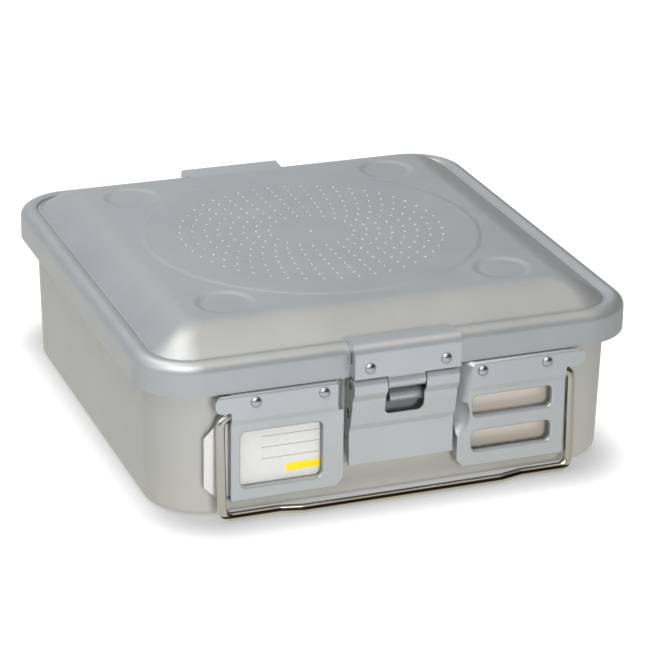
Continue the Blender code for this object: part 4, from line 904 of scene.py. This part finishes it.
def pocket(windows, inner_edge, outer_edge, tab_end, chamfer, scooped):
    front, deep, far, sheet = -150.0, -128.0, 109.7, POCKET_SHEET
    silhouette = outline([
        (inner_edge, POCKET_LOW + 5.5, 1.5), (inner_edge + 5.5, POCKET_LOW, 1.5),
        (outer_edge, POCKET_LOW, 0.6), (outer_edge, 63.7, 0.8),
        (tab_end, 63.7, 4.2), (tab_end, STRIP_TOP, 4.2), (inner_edge, STRIP_TOP, 2.0),
    ])
    body = slab(side_view(0), "X", 30.8, far)
    combine(body, [slab(silhouette, "Y", front, deep)], "INTERSECT")
    inside = slab(side_view(sheet), "X", inner_edge, far)
    room = front_view(sheet, inner_edge, outer_edge - sheet)
    combine(inside, [slab(room, "Y", front, deep + 4)], "INTERSECT")
    low = 50.0 if scooped else 57.0
    combine(inside, [strip_chamfer(chamfer + 1.7, low - 1.7)], "DIFFERENCE")
    pressed_corner = corner_facet((chamfer, STRIP_FACE, STRIP_TOP - 2.0), (-0.45, -0.55, 0.70))
    combine(body, [strip_chamfer(chamfer, low), pressed_corner], "DIFFERENCE")
    if scooped:
        scoop = (24.1, POCKET_FACE - 6.9, 43.0)
        combine(inside, [ball(scoop, 16.6 + sheet)], "DIFFERENCE")
        combine(body, [ball(scoop, 16.6)], "DIFFERENCE")
    for x, z, width, height, corner in windows:
        collar = rounded_box(x, z, width + 2.4, height + 2.4, corner + 1.2)
        combine(inside, [slab(collar, "Y", POCKET_FACE + 0.6, POCKET_FACE + 2.6)], "DIFFERENCE")
    combine(body, [inside], "DIFFERENCE")
    combine(body, [flared(window, 16.0, 1.7, 0.9) for window in windows], "DIFFERENCE")
    return combine(body, [
        box((outer_edge - 2.4, POCKET_FACE + 2.0, 12.2), (far, deep, 56.0)),
        box((outer_edge - 2.4, POCKET_FACE + sheet + 0.1, 54.8), (far, deep, STRIP_TOP - sheet)),
        box((outer_edge, STRIP_FACE + sheet, 59.7), (far, deep, 76.8)),
    ], "DIFFERENCE")


def mirrored(shape):
    bm = bmesh.new()
    bm.from_mesh(shape.data)
    bmesh.ops.transform(bm, matrix=Matrix.Scale(-1, 4, (1, 0, 0)), verts=bm.verts)
    bmesh.ops.recalc_face_normals(bm, faces=bm.faces)
    bm.to_mesh(shape.data)
    bm.free()
    return shape


label_pocket = mirrored(softened(pocket(LABEL_WINDOWS, 34.0, 96.8, 105.7, 37.6, False), 0.3))
tag_pocket = softened(pocket(TAG_WINDOWS, 32.2, 95.2, 106.2, 39.3, True), 0.3)
pair(label_pocket, "label_holder", fitting_metal, ("base", "base"))
pair(tag_pocket, "tag_holder", fitting_metal, ("base", "base"))

# %% [markdown]
# ## The card
# The card slides in from the outer end and stays long enough to be gripped behind the bail. It
# is a thin board with trimmed corners, and its edge is only just visible.

# %% Card
trimmed = outline([
    (-42.0, 12.5, 0.5), (-42.0, 55.0, 0.5), (-103.0, 55.0, 1.2), (-110.0, 48.0, 1.2),
    (-110.0, 19.5, 1.2), (-103.0, 12.5, 1.2),
])
card = softened(slab(trimmed, "Y", -138.4, -138.0), 0.08, 1)
settle(card, "label_card_dressed", card_stuff)
hand_over(card, "card", ["label_card"])

# %% [markdown]
# ## Wire bails
# A bail is one length of polished wire, bent at its two lower corners and jogged outwards in the
# middle, so that a gloved hand can get behind it. One leg stands a little further out than the
# other, as in the photograph. Geometry Nodes sweep a round section along the bent route. The
# route stays a plain polyline that can be read below.

# %% The wire tree
WIRE = 5.2
sweeping, given = new_tree("wire_along_route", [
    ("Wire Diameter", "NodeSocketFloat", WIRE), ("Sides", "NodeSocketInt", 24),
    ("Material", "NodeSocketMaterial", None),
])
section = node(sweeping, "GeometryNodeCurvePrimitiveCircle", {
    "Resolution": given.outputs["Sides"],
    "Radius": maths(sweeping, "MULTIPLY", given.outputs["Wire Diameter"], 0.5),
})
swept = node(sweeping, "GeometryNodeCurveToMesh", {
    "Curve": node(sweeping, "GeometryNodeMeshToCurve", {"Mesh": given.outputs["Geometry"]}),
    "Profile Curve": section, "Fill Caps": True,
})
welded = node(sweeping, "GeometryNodeMergeByDistance", {"Geometry": swept, "Distance": 0.001})
plain = node(sweeping, "GeometryNodeRealizeInstances", {"Geometry": welded})
node(sweeping, "NodeGroupOutput", {"Geometry": node(sweeping, "GeometryNodeSetMaterial", {
    "Geometry": plain, "Material": given.outputs["Material"],
})})
print("Wire tree:", len(sweeping.nodes), "nodes")

# %% Bend the bails
PIVOT_Y, PIVOT_Z = -141.2, 60.6
lean, foot_z = PIVOT_Y - 3.2, PIVOT_Z - 57.2


def leg(side, reach):
    """One half of the bail, from its pivot to the jog."""
    return [
        (side * 88.5, PIVOT_Y, PIVOT_Z, 0), (side * reach, PIVOT_Y, PIVOT_Z, 6),
        (side * reach, lean, foot_z, 6), (side * 70.0, lean, foot_z, 10),
        (side * 57.0, lean - 3.0, foot_z, 10),
    ]


RIGHT_REACH, LEFT_REACH = 99.4, 102.0
bends = route(leg(1, RIGHT_REACH) + leg(-1, LEFT_REACH)[::-1], 10)
bm = bmesh.new()
stations = [bm.verts.new(point) for point in bends]
for before, after in zip(stations, stations[1:]):
    bm.edges.new((before, after))
bail = placed(bm)
run_tree(bail, sweeping, {"Wire Diameter": WIRE, "Material": wire_steel})
softened(bail, 0.5, 3, 60)
pair(bail, "bail", wire_steel, ("front_bail", "rear_bail"), 60)

# %% [markdown]
# ## Rivets
# Domed rivets hold the brackets and the pockets. They repeat, so a tree sets one rivet on every
# point of a small mesh and copies the front row to the rear with half a turn.

# %% The rivet tree
riveting, given = new_tree("rivets_front_and_rear", [
    ("Rivet", "NodeSocketObject", None), ("Half Turn", "NodeSocketVector", (0.0, 0.0, pi)),
    ("Material", "NodeSocketMaterial", None),
])
one = node(riveting, "GeometryNodeObjectInfo", {"Object": given.outputs["Rivet"]})
row = node(riveting, "GeometryNodeInstanceOnPoints", {
    "Points": given.outputs["Geometry"], "Instance": one.outputs["Geometry"],
})
turned_row = node(riveting, "GeometryNodeTransform", {
    "Geometry": row, "Rotation": given.outputs["Half Turn"],
})
both = node(riveting, "GeometryNodeJoinGeometry")
for part in (row, turned_row):
    riveting.links.new(part.outputs[0], both.inputs[0])
node(riveting, "NodeGroupOutput", {"Geometry": node(riveting, "GeometryNodeSetMaterial", {
    "Geometry": node(riveting, "GeometryNodeRealizeInstances", {"Geometry": both}),
    "Material": given.outputs["Material"],
})})
print("Rivet tree:", len(riveting.nodes), "nodes")


# %% Set the rivets
PEEN = 0.3                               # from the last sheet to the rivet's tail
RIVET_X, RIVET_Z = (-83.4, -45.4, 45.4, 83.4), 68.4


def rivet(grip):
    """Domed rivet that faces the front: head 6.2 mm wide and 2 mm high, with its tail behind."""
    dome = [(3.1 * sin(pi / 2 * s / 7), 2.0 * cos(pi / 2 * s / 7)) for s in range(8)]
    dome[0] = (0, 2.0)
    shank = [(2.9, -0.12), (1.5, -0.12), (1.5, -grip)]
    tail = [(2.3, -grip), (2.1, -grip - 1.0), (0, -grip - 1.0)]
    return lathed(dome + shank + tail, 24, Matrix.Rotation(pi / 2, 4, "X"))


def rivets(name, places, grip, body, nodes):
    bm = bmesh.new()
    for place in places:
        bm.verts.new(place)
    row = placed(bm)
    pattern = rivet(grip)
    run_tree(row, riveting, {"Rivet": pattern, "Material": rivet_steel})
    bpy.data.objects.remove(pattern, do_unlink=True)
    settle(row, name, rivet_steel, 50)
    hand_over(row, body, nodes)


rivets("bracket_rivets", [(x, FACE, 81.0) for x in (-21.7, 21.7)], 9.5 + PEEN, "lid",
       [f"{side}_bracket_rivet_{hand}" for side in ("front", "rear") for hand in ("left", "right")])
rivets("pocket_rivets", [(x, STRIP_FACE, RIVET_Z) for x in RIVET_X],
       -STRIP_FACE - tub_wall(RIVET_Z) + SHEET + PEEN, "base",
       [f"{side}_{kind}_rivet_{end}" for side in ("front", "rear") for kind in ("label", "tag")
        for end in ("inner", "outer")])

# %% [markdown]
# ## Under the lid
# The filter paper lies under the perforation, and a shallow dish with two rings of larger holes
# holds it up. A knob on a stud is turned to free the dish. The perforation tree pierces the
# dish too, with fewer and larger holes.

# %% Filter retainer
retainer = lathed([
    (2.8, 99.8), (93.5, 99.8), (95.2, 99.4), (96.0, 98.2), (96.0, 95.8), (95.0, 95.8), (95.0, 98.0),
    (94.6, 98.6), (93.6, 98.8), (2.8, 98.8),
], 144, loop=True)
run_tree(retainer, piercing, {
    "Rings": 2, "First Radius": 40.0, "Ring Pitch": 28.0, "First Count": 10.0, "Added per Ring": 6.0,
    "Hole Diameter": 7.8, "Taper": 0.2, "Level": 100.8, "Depth": 3.0, "Sides": 32,
    "Material": fitting_metal, "Wall Material": fitting_metal,
})
settle(retainer, "filter_retainer_dressed")
hand_over(retainer, "retainer", ["filter_retainer"])

paper = lathed([(2.8, 100.6), (93.0, 100.6), (93.0, 100.1), (2.8, 100.1)], 144, loop=True)
settle(paper, "filter_paper_dressed", filter_stuff)
hand_over(paper, "retainer", ["filter_paper"])

# %% Knob with finger grips
knob = lathed([
    (2.8, 98.5), (7.0, 98.5), (7.0, 97.0), (10.8, 97.0), (11.7, 96.6), (12.0, 95.8), (12.0, 94.2),
    (11.7, 93.4), (10.8, 93.0), (2.8, 93.0),
], 96, loop=True)
flutes = []
for step in range(10):
    angle = TURN * (step + 0.5) / 10
    place = Matrix.Translation((13.2 * cos(angle), 13.2 * sin(angle), 0))
    flutes.append(lathed([(0, 90), (2.2, 90), (2.2, 100), (0, 100)], 24, place))
combine(knob, flutes, "DIFFERENCE")
softened(knob, 0.25)
settle(knob, "retainer_knob_dressed", spring_steel)
hand_over(knob, "knob", ["retainer_knob"])

# %% [markdown]
# ## The CAD nodes that stay
# The gasket, the pins, the springs, the saddles and the spacers are small and already have
# their true form, so they stay as they are and only get a finer material.

# %% Materials for the CAD nodes that stay
kept = {
    "silicone": silicone, "spring_steel": spring_steel, "polished_wire": wire_steel,
    "anodised_fitting": fitting_metal,
}
finish_of = {"lid_gasket": "silicone", "retainer_stud": "spring_steel"}
for side in ("front", "rear"):
    finish_of[f"{side}_hinge_pin"] = "polished_wire"
    for hand in ("left", "right"):
        finish_of[f"{side}_snap_pin_{hand}"] = "spring_steel"
        finish_of[f"{side}_latch_spring_{hand}"] = "spring_steel"
        finish_of[f"{side}_saddle_{hand}"] = "anodised_fitting"
        finish_of[f"{side}_spacer_{hand}"] = "anodised_fitting"
for name, finish in finish_of.items():
    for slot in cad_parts[name].material_slots:
        slot.material = kept[finish]
print("CAD nodes that stay:", len(finish_of))

# %% [markdown]
# ## Floor, light and surround
# The container stands on a white floor in soft light from above and in front. Satin metal
# shows what surrounds it, so the surround matters more than the lamps. It is white where the
# camera looks. Mirrors see a sky that is cooler towards the horizon and warm overhead, darker to
# the right, where the studio is open, and dim in front, with one bright panel overhead on the
# left. Other light from the sky is an even grey. The floor glows only for the eye and for
# mirrors. In mirrors it is bluish far in front, a little beige near the container and behind it,
# and darker to the right. For the eye it is white, with a narrow soft shade round the foot that
# is partly real shadow and mostly painted shade, where the glow is dimmed. The front softbox
# lights the wall but isn't seen in mirrors, where its outline would show.

# %% Surround
def mirror_rays(tree, ray):
    return maths(tree, "MAXIMUM", ray.outputs["Is Glossy Ray"], ray.outputs["Is Transmission Ray"])


SKY = ((0.0, (0.90, 0.93, 0.95)), (0.30, (0.80, 0.84, 0.89)), (0.42, (0.82, 0.865, 0.92)),
       (0.56, (1.08, 1.11, 1.14)), (0.80, (1.26, 1.18, 1.10)), (0.94, (1.50, 1.34, 1.19)))
WHITE = (1, 1, 1, 1)
OPEN_SIDE, DIM_FRONT = (0.20, 0.19, 0.18, 1), (0.36, 0.38, 0.41, 1)
PANEL, EVEN_GREY = (2.0, 2.0, 2.0, 1), (0.42, 0.43, 0.44, 1)

world = bpy.data.worlds.new("studio")
scene.world = world
world.use_nodes = True
tree = world.node_tree
tree.nodes.clear()
ray = node(tree, "ShaderNodeLightPath")
aim = node(tree, "ShaderNodeSeparateXYZ", {0: node(tree, "ShaderNodeTexCoord").outputs["Generated"]})
sky = node(tree, "ShaderNodeValToRGB", {0: aim.outputs[2]})
for band, (height, colour) in enumerate(SKY):
    if band >= len(sky.color_ramp.elements):
        sky.color_ramp.elements.new(height)
    sky.color_ramp.elements[band].position = height
    sky.color_ramp.elements[band].color = (*colour, 1)
opened = mixed(tree, eased_range(tree, aim.outputs[0], 0.20, 0.72), WHITE, OPEN_SIDE)
unlit = mixed(tree, eased_range(tree, aim.outputs[1], -0.62, -0.22), DIM_FRONT, WHITE)
plain_sky = vectors(tree, "MULTIPLY", vectors(tree, "MULTIPLY", sky, opened), unlit)
leftward = eased_range(tree, aim.outputs[0], 0.0, -0.20)
not_behind = eased_range(tree, aim.outputs[1], 0.35, 0.10)
raised = eased_range(tree, aim.outputs[2], 0.15, 0.40)
panel = maths(tree, "MULTIPLY", maths(tree, "MULTIPLY", leftward, not_behind), raised)
mirrored_sky = mixed(tree, panel, plain_sky, PANEL)
reflected = mixed(tree, mirror_rays(tree, ray), EVEN_GREY, mirrored_sky)
seen = mixed(tree, ray.outputs["Is Camera Ray"], reflected, WHITE)
background = node(tree, "ShaderNodeBackground", {"Color": seen, "Strength": 1.0})
node(tree, "ShaderNodeOutputWorld", {"Surface": background})
print("Surround:", len(tree.nodes), "nodes")

# %% Floor
bm = bmesh.new()
bmesh.ops.create_grid(bm, x_segments=8, y_segments=8, size=4)
floor = placed(bm)
floor.name = "floor"
floor.data.name = "floor"
paint = bpy.data.materials.new("white_floor")
paint.use_nodes = True
tree = paint.node_tree
tree.nodes.clear()
ray = node(tree, "ShaderNodeLightPath")
spot = node(tree, "ShaderNodeTexCoord").outputs["Object"]
across, depth, _ = node(tree, "ShaderNodeSeparateXYZ", {0: spot}).outputs
flat = vectors(tree, "ABSOLUTE", spot)
FOOT_CORNER = 0.030
GLOW_BOX, PAINTED_SHADE_BOX = (0.134, 0.148), (0.125, 0.148)
FAR_FRONT, FAR_BEHIND, NEAR = (1.10, 1.14, 1.21, 1), (1.0, 0.99, 0.95, 1), (1.0, 0.985, 0.94, 1)
RIGHT_SIDE = (0.52, 0.50, 0.47, 1)


def from_box(half_x, half_y):
    """Distance on the floor from a box with rounded corners, measured from inside them."""
    outside = vectors(tree, "SUBTRACT", flat, (half_x - FOOT_CORNER, half_y - FOOT_CORNER, 0.0))
    beyond = vectors(tree, "MAXIMUM", outside, (0, 0, 0))
    return node(tree, "ShaderNodeVectorMath", {0: beyond}, operation="LENGTH").outputs["Value"]


def grey(level):
    return (level, level, level, 1)


away = eased_range(tree, from_box(*GLOW_BOX), FOOT_CORNER + 0.02, FOOT_CORNER + 0.16)
far = mixed(tree, eased_range(tree, depth, -0.16, 0.0), FAR_FRONT, FAR_BEHIND)
opened = mixed(tree, eased_range(tree, across, -0.05, 0.34), WHITE, RIGHT_SIDE)
glow = vectors(tree, "MULTIPLY", mixed(tree, away, NEAR, far), opened)
# Painted shade: for the eye the floor's glow is dimmed from 0.97 to 0.40 in a narrow band round the foot. The
# floor's matt part adds a little real shadow on top.
clear_of_painted_shade = eased_range(tree, from_box(*PAINTED_SHADE_BOX), FOOT_CORNER - 0.006, FOOT_CORNER + 0.029)
by_eye, by_mirror = ray.outputs["Is Camera Ray"], mirror_rays(tree, ray)
tint = mixed(tree, by_eye, glow, mixed(tree, clear_of_painted_shade, grey(0.40), grey(0.97)))
watched = maths(tree, "MAXIMUM", by_eye, by_mirror)
dull = mixed(tree, by_mirror, mixed(tree, by_eye, grey(0.55), grey(0.20)), grey(0.06))
matt = node(tree, "ShaderNodeBsdfDiffuse", {"Color": dull})
light = node(tree, "ShaderNodeEmission", {"Color": tint, "Strength": watched})
node(tree, "ShaderNodeOutputMaterial", {"Surface": node(tree, "ShaderNodeAddShader", {0: matt, 1: light})})
floor.data.materials.append(paint)
floor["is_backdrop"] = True
print("Floor:", round(floor.dimensions.x, 1), "m wide")


# %% Lamps
def softbox(name, place, size, power, colour, mirrored=True):
    lamp = bpy.data.lights.new(name, "AREA")
    lamp.shape, lamp.size, lamp.size_y = "RECTANGLE", size[0], size[1]
    lamp.energy, lamp.color = power, colour
    holder = bpy.data.objects.new(name, lamp)
    holder.location = place
    aim = Vector((0, 0, 0.05)) - Vector(place)
    holder.rotation_euler = aim.to_track_quat("-Z", "Y").to_euler()
    holder.visible_glossy = mirrored
    scene.collection.objects.link(holder)


softbox("front_softbox", (-0.05, -1.9, 0.45), (0.5, 0.4), 27, (1.0, 0.98, 0.95), False)
softbox("rim_softbox", (-0.45, -0.62, 1.25), (0.9, 0.9), 9, (1.0, 1.0, 1.0))
softbox("rear_softbox", (-0.40, 0.50, 1.5), (0.8, 0.8), 5, (1.0, 0.98, 0.95))

# %% [markdown]
# ## Camera
# The photograph was taken from a little to the left and above, with a long lens. Its angles
# were worked out from the corners of the lid in the photograph.

# %% Camera
YAW, PITCH, ROLL = 0.3625, 0.3927, 0.0148
DISTANCE, SHIFT_RIGHT, SHIFT_UP = 1.5934008, 0.0094131, 0.0404254
FOCAL_PIXELS, FRAME_PIXELS, SENSOR = 2712.4862, 650, 36.0
forward = Vector((sin(YAW) * cos(PITCH), cos(YAW) * cos(PITCH), -sin(PITCH)))
right = Vector((cos(YAW), -sin(YAW), 0))
up = right.cross(forward)
level_right = right * cos(ROLL) + up * sin(ROLL)
level_up = up * cos(ROLL) - right * sin(ROLL)
lens = bpy.data.cameras.new("camera")
lens.sensor_width = SENSOR
lens.lens = FOCAL_PIXELS * SENSOR / FRAME_PIXELS
camera = bpy.data.objects.new("camera", lens)
place = -forward * DISTANCE + level_right * SHIFT_RIGHT + level_up * SHIFT_UP
camera.matrix_world = Matrix((
    (level_right.x, level_up.x, -forward.x, place.x),
    (level_right.y, level_up.y, -forward.y, place.y),
    (level_right.z, level_up.z, -forward.z, place.z),
    (0, 0, 0, 1),
))
scene.collection.objects.link(camera)
scene.camera = camera
scene.view_settings.view_transform = "Standard"
print("Lens:", round(lens.lens, 1), "mm, place:", [round(v, 3) for v in place])

# %% Check the size and finish
dressed_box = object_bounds()
for axis in range(3):
    cad = cad_box[1][axis] - cad_box[0][axis]
    dressed = dressed_box[1][axis] - dressed_box[0][axis]
    print("XYZ"[axis], f"{cad * 1000:.2f} mm in CAD, {dressed * 1000:.2f} mm dressed")
